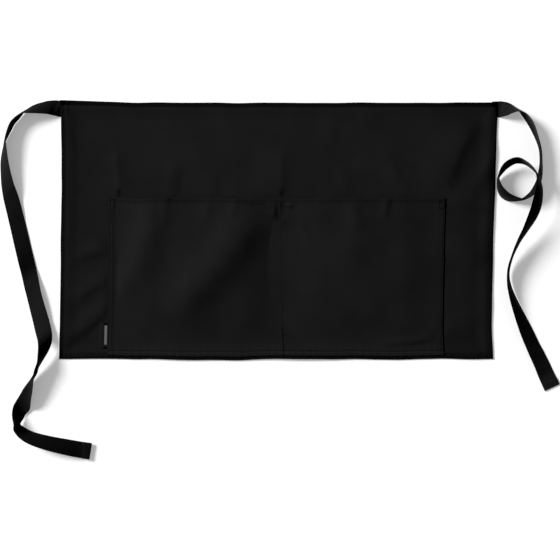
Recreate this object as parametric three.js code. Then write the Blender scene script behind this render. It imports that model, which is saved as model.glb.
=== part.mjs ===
// A waist apron laid out flat on a table, face up, with its two tape ties lying loose beside it.
// A hemmed cloth panel carries one wide patch pocket, which a middle seam divides in two. Bar tacks
// hold the pocket's mouth, and a woven loop label is caught in its left seam.
// Millimetres, +Z up, +Y towards the waist. The origin is the middle of the panel's underside.

import * as THREE from "three";

// Cloth and seams
const cloth = {
  thickness: 1.2,
  gap: 0.3, // clearance between two layers that are sewn together
};

// The panel's finished size, inside its hems
const panel = {
  width: 706,
  length: 418,
  columnStep: 18, // size of the facets along the waist
  rowStep: 17, // size of the facets down the apron
};

// Hems are turned to the back, so the panel's margins lie on them
const hem = {
  side: 10,
  waist: 8,
  bottom: 7,
  thickness: 1.6,
  ramp: 6, // width over which the panel comes down off a hem
};

// The patch pocket, placed by its distances from the panel's edges
const pocket = {
  fromLeft: 78.5,
  fromRight: 80,
  belowWaist: 157,
  aboveBottom: 5.6,
  seam: 12, // width held down along each sewn edge
  middleAt: 0.512, // middle seam, as a share of the pocket's width
  middleSeam: 5, // half the width held down along the middle seam
  puff: 6, // how far the cloth stands off the panel inside
  swell: 56, // distance from a seam over which it rises
  columnStep: 21,
  rowStep: 20,
};

// The loop label beside the pocket's left seam
const label = {
  width: 14,
  length: 42,
  thickness: 1,
  aboveBottom: 16,
};

// Bar tacks of dense zigzag stitching at the pocket's mouth
const tack = {
  thickness: 0.8,
  bar: 1.8, // width of one bar of stitches
  inset: 1.9, // distance in from the pocket's edge
  leftReach: 8,
  leftStem: 12,
  rightReach: 10,
  rightLength: 15,
  middleLength: 9,
};

// The cotton tapes that tie the apron on
const tie = {
  width: 25,
  thickness: 1.6,
  reach: 100, // unit of the routes' distances out from the panel's sides
  endFold: 13, // length turned over and sewn at the free end
  endProud: 0.8, // how far the turned end stands out past the tape's edge
  step: 6, // length of one facet
};

// How the panel's side edges stand out past its nominal rectangle, in shares of its width
const sideLine = [
  { down: 0, left: -0.0025, right: 0.0055 },
  { down: 0.25, left: -0.0048, right: 0.0014 },
  { down: 0.5, left: -0.0014, right: -0.0025 },
  { down: 0.75, left: 0.0005, right: -0.0045 },
  { down: 0.87, left: 0.0012, right: -0.0072 },
  { down: 1, left: 0.0055, right: -0.0048 },
];

// How the waist edge stands up past its nominal line, in shares of the panel's length
const waistLine = [
  { across: 0, up: 0.0045 },
  { across: 0.11, up: -0.003 },
  { across: 0.87, up: -0.003 },
  { across: 1, up: 0 },
];

// Soft folds in the panel around the pocket, each a ridge from one point to another. Places are
// shares of the panel's width and length, widths are shares of its length, heights of foldHeight.
const foldHeight = 4;
const panelFolds = [
  { fromAcross: 0.99, fromDown: 0.05, toAcross: 0.925, toDown: 0.4, wide: 0.045, high: 0.8 },
  { fromAcross: 0.507, fromDown: 0.14, toAcross: 0.507, toDown: 0.34, wide: 0.03, high: 0.6 },
  { fromAcross: 0.126, fromDown: 0.18, toAcross: 0.14, toDown: 0.32, wide: 0.035, high: 0.5 },
  { fromAcross: 0.02, fromDown: 0.62, toAcross: 0.09, toDown: 0.58, wide: 0.035, high: 0.7 },
  { fromAcross: 0.02, fromDown: 0.74, toAcross: 0.085, toDown: 0.675, wide: 0.04, high: 0.5 },
  { fromAcross: 0.02, fromDown: 0.95, toAcross: 0.078, toDown: 0.87, wide: 0.035, high: 0.8 },
  { fromAcross: 0.91, fromDown: 0.59, toAcross: 0.985, toDown: 0.54, wide: 0.06, high: 0.8 },
];

// Soft folds in the pocket, in shares of the pocket's width and length in the same way
const pocketFoldHeight = 4;
const pocketFolds = [
  { fromAcross: 0.43, fromDown: 0.14, toAcross: 0.17, toDown: 0.8, wide: 0.12, high: 1 },
  { fromAcross: 0.135, fromDown: 0, toAcross: 0.12, toDown: 0.33, wide: 0.05, high: 0.6 },
  { fromAcross: 0.71, fromDown: 0.02, toAcross: 0.75, toDown: 0.14, wide: 0.07, high: 0.5 },
  { fromAcross: 0.82, fromDown: 0.03, toAcross: 0.825, toDown: 0.09, wide: 0.05, high: 0.5 },
];

// Routes of the ties from the panel's top corners to their free ends. out is the distance out from
// the corner in shares of tie.reach, down the distance below it in shares of the panel's length,
// lift the height of the tape's lower edge in shares of its width, and roll the turn of the tape
// about its own line in degrees: 0 lies flat and 90 stands on edge with its left edge up.
const leftRoute = [
  { out: -0.065, down: 0, lift: 0, roll: 0 },
  { out: 0.015, down: -0.001, lift: 0, roll: 0 },
  { out: 0.11, down: -0.004, lift: 0, roll: 12 },
  { out: 0.22, down: -0.005, lift: 0.01, roll: 29 },
  { out: 0.38, down: -0.001, lift: 0.03, roll: 44 },
  { out: 0.5, down: 0.006, lift: 0.04, roll: 59 },
  { out: 0.61, down: 0.018, lift: 0.04, roll: 78 },
  { out: 0.71, down: 0.036, lift: 0.03, roll: 83 },
  { out: 0.8, down: 0.058, lift: 0.02, roll: 84 },
  { out: 0.855, down: 0.086, lift: 0.02, roll: 83 },
  { out: 0.895, down: 0.122, lift: 0.01, roll: 75 },
  { out: 0.915, down: 0.161, lift: 0, roll: 64 },
  { out: 0.915, down: 0.205, lift: 0, roll: 52 },
  { out: 0.895, down: 0.254, lift: 0, roll: 42 },
  { out: 0.857, down: 0.304, lift: 0, roll: 28 },
  { out: 0.8, down: 0.36, lift: 0, roll: 9 },
  { out: 0.735, down: 0.425, lift: 0, roll: 0 },
  { out: 0.58, down: 0.58, lift: 0, roll: 0 },
  { out: 0.44, down: 0.726, lift: 0, roll: 0 },
  { out: 0.322, down: 0.84, lift: 0.01, roll: -9 },
  { out: 0.27, down: 0.89, lift: 0.02, roll: -39 },
  { out: 0.28, down: 0.927, lift: 0.03, roll: -58 },
  { out: 0.333, down: 0.966, lift: 0.04, roll: -77 },
  { out: 0.395, down: 1.005, lift: 0.04, roll: -93 },
  { out: 0.457, down: 1.047, lift: 0.03, roll: -108 },
  { out: 0.53, down: 1.09, lift: 0.02, roll: -131 },
  { out: 0.618, down: 1.138, lift: 0.01, roll: -160 },
  { out: 0.687, down: 1.176, lift: 0.05, roll: -205 },
  { out: 0.735, down: 1.206, lift: 0.12, roll: -232 },
  { out: 0.741, down: 1.235, lift: 0.2, roll: -246 },
  { out: 0.69, down: 1.256, lift: 0.22, roll: -242 },
  { out: 0.58, down: 1.273, lift: 0.17, roll: -230 },
  { out: 0.38, down: 1.294, lift: 0.08, roll: -213 },
  { out: 0.163, down: 1.308, lift: 0.02, roll: -199 },
  { out: -0.09, down: 1.319, lift: 0, roll: -186 },
  { out: -0.285, down: 1.326, lift: 0, roll: -180 },
  { out: -0.465, down: 1.331, lift: 0, roll: -180 },
];
const rightRoute = [
  { out: -0.073, down: 0, lift: 0, roll: 0 },
  { out: 0.008, down: -0.001, lift: 0, roll: 0 },
  { out: 0.07, down: -0.002, lift: 0.01, roll: -7 },
  { out: 0.138, down: -0.002, lift: 0.03, roll: -25 },
  { out: 0.222, down: -0.001, lift: 0.04, roll: -48 },
  { out: 0.322, down: 0.006, lift: 0.06, roll: -76 },
  { out: 0.418, down: 0.022, lift: 0.08, roll: -94 },
  { out: 0.514, down: 0.044, lift: 0.1, roll: -100 },
  { out: 0.587, down: 0.074, lift: 0.1, roll: -99 },
  { out: 0.645, down: 0.115, lift: 0.08, roll: -92 },
  { out: 0.682, down: 0.158, lift: 0.06, roll: -86 },
  { out: 0.693, down: 0.198, lift: 0.05, roll: -87 },
  { out: 0.688, down: 0.237, lift: 0.04, roll: -94 },
  { out: 0.666, down: 0.275, lift: 0.03, roll: -99 },
  { out: 0.61, down: 0.308, lift: 0.02, roll: -104 },
  { out: 0.518, down: 0.333, lift: 0.02, roll: -101 },
  { out: 0.38, down: 0.349, lift: 0.02, roll: -89 },
  { out: 0.226, down: 0.347, lift: 0.03, roll: -71 },
  { out: 0.113, down: 0.333, lift: 0.04, roll: -66 },
  { out: 0.035, down: 0.306, lift: 0.06, roll: -77 },
  { out: 0.015, down: 0.272, lift: 0.11, roll: -94 },
  { out: 0.058, down: 0.241, lift: 0.2, roll: -110 },
  { out: 0.145, down: 0.217, lift: 0.36, roll: -115 },
  { out: 0.279, down: 0.203, lift: 0.56, roll: -109 },
  { out: 0.415, down: 0.213, lift: 0.76, roll: -96 },
  { out: 0.513, down: 0.234, lift: 0.92, roll: -87 },
  { out: 0.585, down: 0.261, lift: 1.06, roll: -77 },
  { out: 0.623, down: 0.295, lift: 1.13, roll: -62 },
  { out: 0.622, down: 0.333, lift: 1.15, roll: -50 },
  { out: 0.594, down: 0.371, lift: 1.12, roll: -45 },
  { out: 0.55, down: 0.404, lift: 1.06, roll: -46 },
  { out: 0.48, down: 0.44, lift: 0.96, roll: -54 },
  { out: 0.403, down: 0.475, lift: 0.84, roll: -63 },
  { out: 0.323, down: 0.51, lift: 0.68, roll: -71 },
  { out: 0.241, down: 0.551, lift: 0.48, roll: -77 },
  { out: 0.187, down: 0.588, lift: 0.32, roll: -79 },
  { out: 0.161, down: 0.624, lift: 0.2, roll: -78 },
  { out: 0.163, down: 0.658, lift: 0.12, roll: -74 },
  { out: 0.198, down: 0.697, lift: 0.06, roll: -65 },
  { out: 0.269, down: 0.745, lift: 0.02, roll: -54 },
  { out: 0.362, down: 0.799, lift: 0.01, roll: -42 },
  { out: 0.468, down: 0.858, lift: 0, roll: -31 },
  { out: 0.594, down: 0.924, lift: 0, roll: -22 },
  { out: 0.728, down: 0.99, lift: 0, roll: -12 },
  { out: 0.818, down: 1.037, lift: 0, roll: 0 },
  { out: 0.897, down: 1.078, lift: 0, roll: 0 },
];

// Sizes that follow from the ones above
const halfWidth = panel.width / 2;
const halfLength = panel.length / 2;
const marginLift = hem.thickness + cloth.gap;
const sewnOn = cloth.thickness + cloth.gap; // underside of what is sewn on the flat panel
const pocketLeft = -halfWidth + pocket.fromLeft;
const pocketRight = halfWidth - pocket.fromRight;
const pocketMouth = halfLength - pocket.belowWaist;
const pocketBottom = -halfLength + pocket.aboveBottom;
const pocketWidth = pocketRight - pocketLeft;
const pocketLength = pocketMouth - pocketBottom;
const pocketMiddle = pocketLeft + pocket.middleAt * pocketWidth;
const stillBand = label.width + cloth.gap; // the panel stays flat this far round the pocket

// Materials
const blackTwill = new THREE.MeshStandardMaterial({ color: 0x1a1a1b, roughness: 0.92, metalness: 0 });
const blackTape = new THREE.MeshStandardMaterial({ color: 0x121213, roughness: 0.88, metalness: 0 });
const blackThread = new THREE.MeshStandardMaterial({ color: 0x222223, roughness: 0.7, metalness: 0 });
const wovenLabel = new THREE.MeshStandardMaterial({ color: 0x141416, roughness: 0.75, metalness: 0 });

// Returns the part of x between low and high
function clamp(x, low, high) {
  return Math.min(high, Math.max(low, x));
}

// Rises smoothly from 0 to 1 as x goes from 0 to 1
function ease(x) {
  const c = clamp(x, 0, 1);
  return c * c * (3 - 2 * c);
}

// Reads a column of a table between its rows, in a straight line from row to row
function read(table, key, column, at) {
  const next = table.findIndex((row) => row[key] >= at);
  if (next <= 0) return table[next === 0 ? 0 : table.length - 1][column];
  const a = table[next - 1];
  const b = table[next];
  const share = (at - a[key]) / (b[key] - a[key]);
  return a[column] + share * (b[column] - a[column]);
}

// Even stations from low to high, about step apart, with both ends
function between(low, high, step) {
  const count = Math.max(1, Math.round((high - low) / step));
  return Array.from({ length: count + 1 }, (_, i) => low + ((high - low) * i) / count);
}

// Sorts grid lines, keeps those from low to high and drops near doubles
function gridLines(low, high, lines) {
  const inside = lines.filter((x) => x > low + cloth.gap && x < high - cloth.gap);
  const sorted = [low, ...inside, high].sort((a, b) => a - b);
  return sorted.filter((x, i) => i === 0 || x - sorted[i - 1] > cloth.gap);
}

// Moves a point of the flat rectangle s, t to the apron's true outline. The margins follow their
// edges without changing width, and the cloth between them takes up the difference.
function place(s, t, z) {
  const edge = hem.side + cloth.gap + hem.ramp;
  const share = clamp((s + halfWidth - edge) / (panel.width - 2 * edge), 0, 1);
  const down = (halfLength - t) / panel.length;
  const across = (s + halfWidth) / panel.width;
  const outLeft = read(sideLine, "down", "left", down);
  const outRight = read(sideLine, "down", "right", down);
  const dx = panel.width * (outRight * share - outLeft * (1 - share));
  const dy = panel.length * read(waistLine, "across", "up", across) * (1 - clamp(down, 0, 1)) ** 4;
  return new THREE.Vector3(s + dx, t + dy, z);
}

// Height of a set of ridges at s, t on a cloth that runs from left, top with the given size. Each
// ridge falls off with the distance from its line as a bell curve.
function foldsAt(folds, height, left, top, width, length, s, t) {
  return folds.reduce((sum, fold) => {
    const from = new THREE.Vector3(left + fold.fromAcross * width, top - fold.fromDown * length, 0);
    const to = new THREE.Vector3(left + fold.toAcross * width, top - fold.toDown * length, 0);
    const point = new THREE.Vector3(s, t, 0);
    const nearest = new THREE.Line3(from, to).closestPointToPoint(point, true, new THREE.Vector3());
    const distance = nearest.distanceTo(point) / (fold.wide * length);
    return sum + height * fold.high * Math.exp(-distance * distance);
  }, 0);
}

// 1 over a hem, falling to 0 across the ramp beside it
function overHem(distance, width) {
  return clamp(1 - (distance - width - cloth.gap) / hem.ramp, 0, 1);
}

// Height of the panel's underside at s, t
function panelUnderside(s, t) {
  const onHem = Math.max(
    overHem(s + halfWidth, hem.side),
    overHem(halfWidth - s, hem.side),
    overHem(halfLength - t, hem.waist),
    overHem(t + halfLength, hem.bottom),
  );
  const beside = Math.max(pocketLeft - s, s - pocketRight);
  const outside = Math.max(beside, t - pocketMouth);
  const free = clamp((outside - stillBand) / panel.rowStep, 0, 1);
  const folds = foldsAt(
    panelFolds, foldHeight, -halfWidth, halfLength, panel.width, panel.length, s, t,
  );
  return marginLift * onHem + folds * free;
}

// Height of the pocket's underside at s, t: held down along the seams, open at the mouth
function pocketUnderside(s, t) {
  const fromSide = Math.min(s - pocketLeft, pocketRight - s) - pocket.seam;
  const fromMiddle = Math.abs(s - pocketMiddle) - pocket.middleSeam;
  const fromBottom = t - pocketBottom - pocket.seam;
  const rise = ease(Math.min(fromSide, fromMiddle) / pocket.swell) * ease(fromBottom / pocket.swell);
  const folds = foldsAt(
    pocketFolds, pocketFoldHeight, pocketLeft, pocketMouth, pocketWidth, pocketLength, s, t,
  );
  const margin = marginLift * overHem(t + halfLength, hem.bottom);
  return margin + sewnOn + rise * (pocket.puff + folds);
}

// Makes a closed mesh's geometry from its points and its faces, each a list of point numbers
function closedGeometry(points, faces) {
  const triangles = faces.flatMap((face) =>
    face.slice(2).flatMap((corner, i) => [face[0], face[i + 1], corner]),
  );
  const geometry = new THREE.BufferGeometry();
  geometry.setFromPoints(points);
  geometry.setIndex(triangles);
  geometry.computeVertexNormals();
  return geometry;
}

// A sheet of cloth of even thickness over a grid of columns and rows, with its four edges closed
function sheetGeometry(columns, rows, thickness, underside) {
  const across = columns.length;
  const layer = across * rows.length;
  const points = [thickness, 0].flatMap((height) =>
    rows.flatMap((t) => columns.map((s) => place(s, t, underside(s, t) + height))),
  );
  const top = (i, j) => j * across + i;
  const under = (i, j) => layer + j * across + i;
  const faces = [];
  for (let j = 0; j < rows.length - 1; j++) {
    for (let i = 0; i < across - 1; i++) {
      faces.push([top(i, j), top(i + 1, j), top(i + 1, j + 1), top(i, j + 1)]);
      faces.push([under(i, j), under(i, j + 1), under(i + 1, j + 1), under(i + 1, j)]);
    }
  }
  const lastRow = rows.length - 1;
  const lastColumn = across - 1;
  for (let i = 0; i < lastColumn; i++) {
    faces.push([under(i, 0), under(i + 1, 0), top(i + 1, 0), top(i, 0)]);
    faces.push([top(i, lastRow), top(i + 1, lastRow), under(i + 1, lastRow), under(i, lastRow)]);
  }
  for (let j = 0; j < lastRow; j++) {
    faces.push([top(0, j), top(0, j + 1), under(0, j + 1), under(0, j)]);
    faces.push([under(lastColumn, j), under(lastColumn, j + 1), top(lastColumn, j + 1),
      top(lastColumn, j)]);
  }
  return closedGeometry(points, faces);
}

// Sections of a tape along a route: its middle, the unit vector to its left edge and the unit
// vector off its face, about tie.step apart. A smooth curve runs through the route's rows.
function tapeSections(route, corner, side) {
  const line = new THREE.CatmullRomCurve3(
    route.map((row) => new THREE.Vector3(
      corner.x + side * row.out * tie.reach,
      corner.y - row.down * panel.length,
      row.lift * tie.width,
    )),
    false,
    "catmullrom",
  );
  const turn = new THREE.CatmullRomCurve3(
    route.map((row) => new THREE.Vector3(THREE.MathUtils.degToRad(row.roll), 0, 0)),
    false,
    "catmullrom",
  );
  const spans = route.length - 1;
  const shares = [0];
  for (let i = 0; i < spans; i++) {
    const length = line.getPoint(i / spans).distanceTo(line.getPoint((i + 1) / spans));
    const count = Math.max(1, Math.round(length / tie.step));
    for (let k = 1; k <= count; k++) shares.push((i + k / count) / spans);
  }
  return shares.map((share) => {
    const roll = turn.getPoint(share).x;
    const middle = line.getPoint(share);
    const along = line.getTangent(share);
    const heading = new THREE.Vector3(along.x, along.y, 0).normalize();
    const toLeft = new THREE.Vector3(-heading.y, heading.x, 0);
    const edge = toLeft.multiplyScalar(Math.cos(roll)).setZ(Math.sin(roll));
    const face = new THREE.Vector3().crossVectors(heading, edge);
    const standing = (tie.width * Math.abs(edge.z) + tie.thickness * Math.abs(face.z)) / 2;
    middle.z = Math.max(0, middle.z) + standing;
    return { middle, edge, face };
  });
}

// A tape of rectangular section through the given sections, with both ends closed
function tapeGeometry(sections, width, thickness, offset) {
  const corners = [[1, -1], [1, 1], [-1, 1], [-1, -1]];
  const points = sections.flatMap(({ middle, edge, face }) => corners.map(([a, b]) =>
    middle.clone().addScaledVector(edge, (a * width) / 2)
      .addScaledVector(face, offset + (b * thickness) / 2),
  ));
  const faces = [[3, 2, 1, 0]];
  for (let i = 0; i < sections.length - 1; i++) {
    for (let k = 0; k < corners.length; k++) {
      const a = i * corners.length + k;
      const b = i * corners.length + ((k + 1) % corners.length);
      faces.push([a, b, b + corners.length, a + corners.length]);
    }
  }
  const last = (sections.length - 1) * corners.length;
  faces.push([last, last + 1, last + 2, last + 3]);
  return closedGeometry(points, faces);
}

// The turned end of a tape: a second layer sewn on the upper face of its last stretch
function turnedEndGeometry(sections) {
  const end = sections[sections.length - 1];
  const before = sections[sections.length - 2];
  const back = new THREE.Vector3().subVectors(before.middle, end.middle).normalize();
  const start = { ...end, middle: end.middle.clone().addScaledVector(back, tie.endFold) };
  const up = Math.sign(end.face.z);
  const offset = up * (tie.thickness + cloth.gap);
  return tapeGeometry([start, end], tie.width + tie.endProud, tie.thickness, offset);
}

// A flat piece of stitching with the given outline, raised from its underside
function stitchGeometry(outline, holes) {
  const shape = new THREE.Shape(outline.map(([x, y]) => new THREE.Vector2(x, y)));
  shape.holes = holes.map((hole) => new THREE.Path(hole.map(([x, y]) => new THREE.Vector2(x, y))));
  return new THREE.ExtrudeGeometry(shape, { depth: tack.thickness, bevelEnabled: false });
}

// Names a geometry as one piece of the apron
function piece(name, geometry, material) {
  const mesh = new THREE.Mesh(geometry, material);
  mesh.name = name;
  return mesh;
}

// The panel, with grid lines where its ramps, the still band and the pocket begin
function panelMesh() {
  const side = hem.side + cloth.gap;
  const waist = hem.waist + cloth.gap;
  const bottom = hem.bottom + cloth.gap;
  const columns = gridLines(-halfWidth, halfWidth, [
    -halfWidth + side,
    ...between(-halfWidth + side + hem.ramp, pocketLeft - stillBand, panel.columnStep),
    ...between(pocketLeft, pocketRight, panel.columnStep),
    ...between(pocketRight + stillBand, halfWidth - side - hem.ramp, panel.columnStep),
    halfWidth - side,
  ]);
  const rows = gridLines(-halfLength, halfLength, [
    -halfLength + bottom,
    ...between(-halfLength + bottom + hem.ramp, pocketMouth, panel.rowStep),
    ...between(pocketMouth + stillBand, halfLength - waist - hem.ramp, panel.rowStep),
    halfLength - waist,
  ]);
  return piece("panel", sheetGeometry(columns, rows, cloth.thickness, panelUnderside), blackTwill);
}

// A hem strip between two corners of the flat rectangle, lying under the panel's margin
function hemMesh(name, left, bottom, right, top) {
  const columns = between(left, right, 2 * panel.columnStep);
  const rows = between(bottom, top, 2 * panel.rowStep);
  return piece(name, sheetGeometry(columns, rows, hem.thickness, () => 0), blackTwill);
}

// The four hems: the waist hem stops at the tie ends, and the side hems start below them
function hemMeshes() {
  const inner = halfWidth - hem.side - cloth.gap;
  const sideTop = halfLength - tie.width - cloth.gap;
  const sideBottom = -halfLength + hem.bottom + cloth.gap;
  const bottomTop = -halfLength + hem.bottom;
  return [
    hemMesh("waist_hem", -inner, halfLength - hem.waist, inner, halfLength),
    hemMesh("bottom_hem", -halfWidth, -halfLength, halfWidth, bottomTop),
    hemMesh("left_hem", -halfWidth, sideBottom, -halfWidth + hem.side, sideTop),
    hemMesh("right_hem", halfWidth - hem.side, sideBottom, halfWidth, sideTop),
  ];
}

// The pocket, with grid lines where its seams end and where the panel below it rises on the hem
function pocketMesh() {
  const rampStart = -halfLength + hem.bottom + cloth.gap;
  const columns = gridLines(pocketLeft, pocketRight, [
    ...between(pocketLeft + pocket.seam, pocketMiddle - pocket.middleSeam, pocket.columnStep),
    pocketMiddle,
    ...between(pocketMiddle + pocket.middleSeam, pocketRight - pocket.seam, pocket.columnStep),
  ]);
  const rows = gridLines(pocketBottom, pocketMouth, [
    rampStart,
    rampStart + hem.ramp,
    ...between(pocketBottom + pocket.seam, pocketMouth, pocket.rowStep),
  ]);
  return piece("pocket", sheetGeometry(columns, rows, cloth.thickness, pocketUnderside), blackTwill);
}

// The loop label, lying on the panel beside the pocket's left seam
function labelMesh() {
  const right = pocketLeft - cloth.gap;
  const bottom = -halfLength + label.aboveBottom;
  const geometry = sheetGeometry(
    [right - label.width, right], [bottom, bottom + label.length], label.thickness, () => sewnOn,
  );
  return piece("label", geometry, wovenLabel);
}

// The bar tacks: a bar with a stem at the left corner, a bar on the middle seam, a box at the right
function tackMeshes() {
  const height = sewnOn + sewnOn;
  const half = tack.bar / 2;
  const stem = tack.leftReach - 2 * tack.bar;
  const left = stitchGeometry([
    [0, -half], [stem, -half], [stem, -tack.leftStem], [stem + tack.bar, -tack.leftStem],
    [stem + tack.bar, -half], [tack.leftReach, -half], [tack.leftReach, half], [0, half],
  ], []);
  const middle = stitchGeometry([
    [-half, -tack.middleLength], [half, -tack.middleLength], [half, half], [-half, half],
  ], []);
  const right = stitchGeometry([
    [-tack.rightReach, -tack.rightLength], [0, -tack.rightLength], [0, half], [-tack.rightReach, half],
  ], [[
    [-tack.bar, -half], [-tack.rightReach + tack.bar, -half],
    [-tack.rightReach + tack.bar, -tack.rightLength + tack.bar],
    [-tack.bar, -tack.rightLength + tack.bar],
  ]]);
  const edge = pocketMouth - tack.bar;
  const meshes = [
    [piece("tack_left", left, blackThread), pocketLeft + tack.inset],
    [piece("tack_middle", middle, blackThread), pocketMiddle],
    [piece("tack_right", right, blackThread), pocketRight - tack.inset],
  ];
  return meshes.map(([mesh, s]) => {
    mesh.position.copy(place(s, edge, height));
    return mesh;
  });
}

// One tie and its turned end, sewn under the panel's top corner on the given side
function tieMeshes(name, route, side) {
  const corner = place(side * halfWidth, halfLength - tie.width / 2, 0);
  const sections = tapeSections(route, corner, side);
  return [
    piece(name, tapeGeometry(sections, tie.width, tie.thickness, 0), blackTape),
    piece(`${name}_end`, turnedEndGeometry(sections), blackTape),
  ];
}

const apron = new THREE.Group();
apron.name = "waist_apron";
apron.add(panelMesh(), ...hemMeshes(), pocketMesh(), labelMesh(), ...tackMeshes());
apron.add(...tieMeshes("left_tie", leftRoute, -1), ...tieMeshes("right_tie", rightRoute, 1));

export default apron;
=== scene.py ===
"""A black waist apron laid out flat on a pale floor, seen from straight above.

The apron is a hemmed cloth panel with a wide patch pocket, bar tacks at the pocket's mouth, a woven
loop label and two cotton tape ties. Every new surface is a function of two parameters on a grid,
worked out with numpy as whole arrays. Lengths are in metres, +Z is up and +Y is towards the waist.
"""

from __future__ import annotations

import logging
import math
from collections.abc import Callable, Iterable
from dataclasses import dataclass
from enum import Enum

import bpy
import numpy as np
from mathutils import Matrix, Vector

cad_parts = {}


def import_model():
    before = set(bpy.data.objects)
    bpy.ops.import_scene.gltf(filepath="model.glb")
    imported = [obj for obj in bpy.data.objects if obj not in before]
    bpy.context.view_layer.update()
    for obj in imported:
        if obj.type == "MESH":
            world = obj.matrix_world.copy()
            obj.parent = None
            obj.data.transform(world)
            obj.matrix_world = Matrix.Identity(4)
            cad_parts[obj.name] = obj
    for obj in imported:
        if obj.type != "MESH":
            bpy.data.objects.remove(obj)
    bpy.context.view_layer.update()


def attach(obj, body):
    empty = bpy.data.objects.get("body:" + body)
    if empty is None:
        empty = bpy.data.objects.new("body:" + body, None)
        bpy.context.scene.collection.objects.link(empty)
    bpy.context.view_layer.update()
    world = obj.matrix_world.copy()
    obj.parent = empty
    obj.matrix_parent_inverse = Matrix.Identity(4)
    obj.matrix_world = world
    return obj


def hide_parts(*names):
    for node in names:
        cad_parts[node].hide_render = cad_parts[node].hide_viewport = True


Array = np.ndarray
Shape = Callable[[np.ndarray, np.ndarray], np.ndarray]
Colour = tuple[float, float, float]
Place = tuple[float, float]
LOG = logging.getLogger("waist_apron")
MM = 0.001
BODY = "root"
# Black that the painted shade, and the panel's darker waist band, go towards.
SHADE_AND_BAND_BLACK: Colour = (0.002, 0.002, 0.0021)
HERRINGBONE_ROW = 3.1 * MM


def ease(x: Array) -> Array:
    """Rises smoothly from 0 to 1 as x goes from 0 to 1, as 3x^2 - 2x^3."""
    c = np.clip(x, 0.0, 1.0)
    return c * c * (3.0 - 2.0 * c)


def bell(x: Array) -> Array:
    """A bell curve, e to the power of minus x squared."""
    return np.exp(-x * x)


def unit(vectors: Array) -> Array:
    """Scales the vectors along the last axis to length 1."""
    length = np.linalg.norm(vectors, axis=-1, keepdims=True)
    return vectors / np.maximum(length, 1e-12)


def smooth_rows(rows: Array, at: Array) -> Array:
    """Reads a table of rows at fractional row numbers along a uniform Catmull-Rom curve.

    Args:
        rows: The table, one row for each station.
        at: Row numbers, from 0 to the last.

    Returns:
        One interpolated row for each number in at.
    """
    ends = np.vstack([2 * rows[0] - rows[1], rows, 2 * rows[-1] - rows[-2]])
    low = np.clip(np.floor(at).astype(int), 0, len(rows) - 2)
    x = (at - low)[:, None]
    a, b, c, d = (ends[low + k] for k in range(4))
    slope_b, slope_c = (c - a) / 2, (d - b) / 2
    return (
        b + slope_b * x + (3 * (c - b) - 2 * slope_b - slope_c) * x**2
        + (2 * (b - c) + slope_b + slope_c) * x**3
    )


def smooth_table(knots: tuple[float, ...], values: tuple[float, ...], at: Array) -> Array:
    """Reads a one-column table with uneven knots.

    Between two knots the value runs halfway between a straight line and an eased one.

    Args:
        knots: Rising places of the values.
        values: The value at each knot.
        at: Places to read.

    Returns:
        The value at each place.
    """
    k, v = np.array(knots), np.array(values)
    low = np.clip(np.searchsorted(k, at) - 1, 0, len(k) - 2)
    share = (at - k[low]) / (k[low + 1] - k[low])
    blend = 0.5 * (ease(share) + np.clip(share, 0.0, 1.0))
    return v[low] + (v[low + 1] - v[low]) * blend


def even(low: float, high: float, step: float) -> Array:
    """Even stations from low to high, about step apart, with both ends."""
    return np.linspace(low, high, max(2, int(round((high - low) / step)) + 1))


@dataclass(frozen=True)
class Ripple:
    """Soft unevenness: a sum of seeded sine waves in random directions.

    The height is the sum of sin(kx x + ky y + phase) over the waves, times high, over the root of
    their number.
    """

    seed: int
    wavelength: float
    high: float
    waves: int = 18

    def __call__(self, x: Array, y: Array) -> Array:
        """Adds up the waves.

        Args:
            x: Places along x.
            y: Places along y.

        Returns:
            The height at each place.
        """
        rng = np.random.default_rng(self.seed)
        turn = rng.uniform(0, 2 * math.pi, self.waves)
        count = 2 * math.pi / (self.wavelength * rng.uniform(0.6, 1.7, self.waves))
        phase = rng.uniform(0, 2 * math.pi, self.waves)
        total = np.zeros(np.broadcast(x, y).shape)
        for k in range(self.waves):
            across = x * math.cos(turn[k]) + y * math.sin(turn[k])
            total = total + np.sin(count[k] * across + phase[k])
        return self.high * total / math.sqrt(self.waves)


@dataclass(frozen=True)
class Fold:
    """A soft ridge, or a trough where high is below 0, along a line of points on the cloth.

    The height is high times a bell curve of the distance from the line over wide, and it fades out
    over the last share of the line at both ends. A crisp fold falls off as e to the power of minus
    the distance over wide, rounded over its crest. wide holds the width on the line's right hand
    and on its left, seen along it from its first point, and turn is the distance in which the one
    width becomes the other. The sizes are in millimetres.
    """

    line: tuple[Place, ...]
    wide: tuple[float, float]
    high: float
    crisp: bool = False
    fade: float = 0.3
    crest: float = 1.2
    turn: float = 6.0

    def __call__(self, x: Array, y: Array) -> Array:
        """Works out the fold's height.

        Args:
            x: Places along the waist.
            y: Places towards the waist.

        Returns:
            The height at each place, in metres.
        """
        points = np.array(self.line) * MM
        lengths = np.linalg.norm(np.diff(points, axis=0), axis=1)
        start = np.concatenate([[0.0], np.cumsum(lengths)])
        nearest = np.full(np.broadcast(x, y).shape, np.inf)
        along, left = np.zeros_like(nearest), np.zeros_like(nearest)
        for k, length in enumerate(lengths):
            step = (points[k + 1] - points[k]) / length
            from_x, from_y = x - points[k, 0], y - points[k, 1]
            reach = np.clip(from_x * step[0] + from_y * step[1], 0, length)
            away = np.hypot(from_x - reach * step[0], from_y - reach * step[1])
            closer = away < nearest
            nearest = np.where(closer, away, nearest)
            along = np.where(closer, (start[k] + reach) / start[-1], along)
            left = np.where(closer, from_y * step[0] - from_x * step[1], left)
        ends = ease(along / self.fade) * ease((1 - along) / self.fade)
        side = ease(0.5 + left / (self.turn * MM))
        wide = (self.wide[0] * (1 - side) + self.wide[1] * side) * MM
        if self.crisp:
            crest = self.crest * MM
            shape = np.exp(-(np.sqrt(nearest**2 + crest**2) - crest) / wide)
        else:
            shape = bell(nearest / wide)
        return self.high * MM * shape * ends


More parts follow.
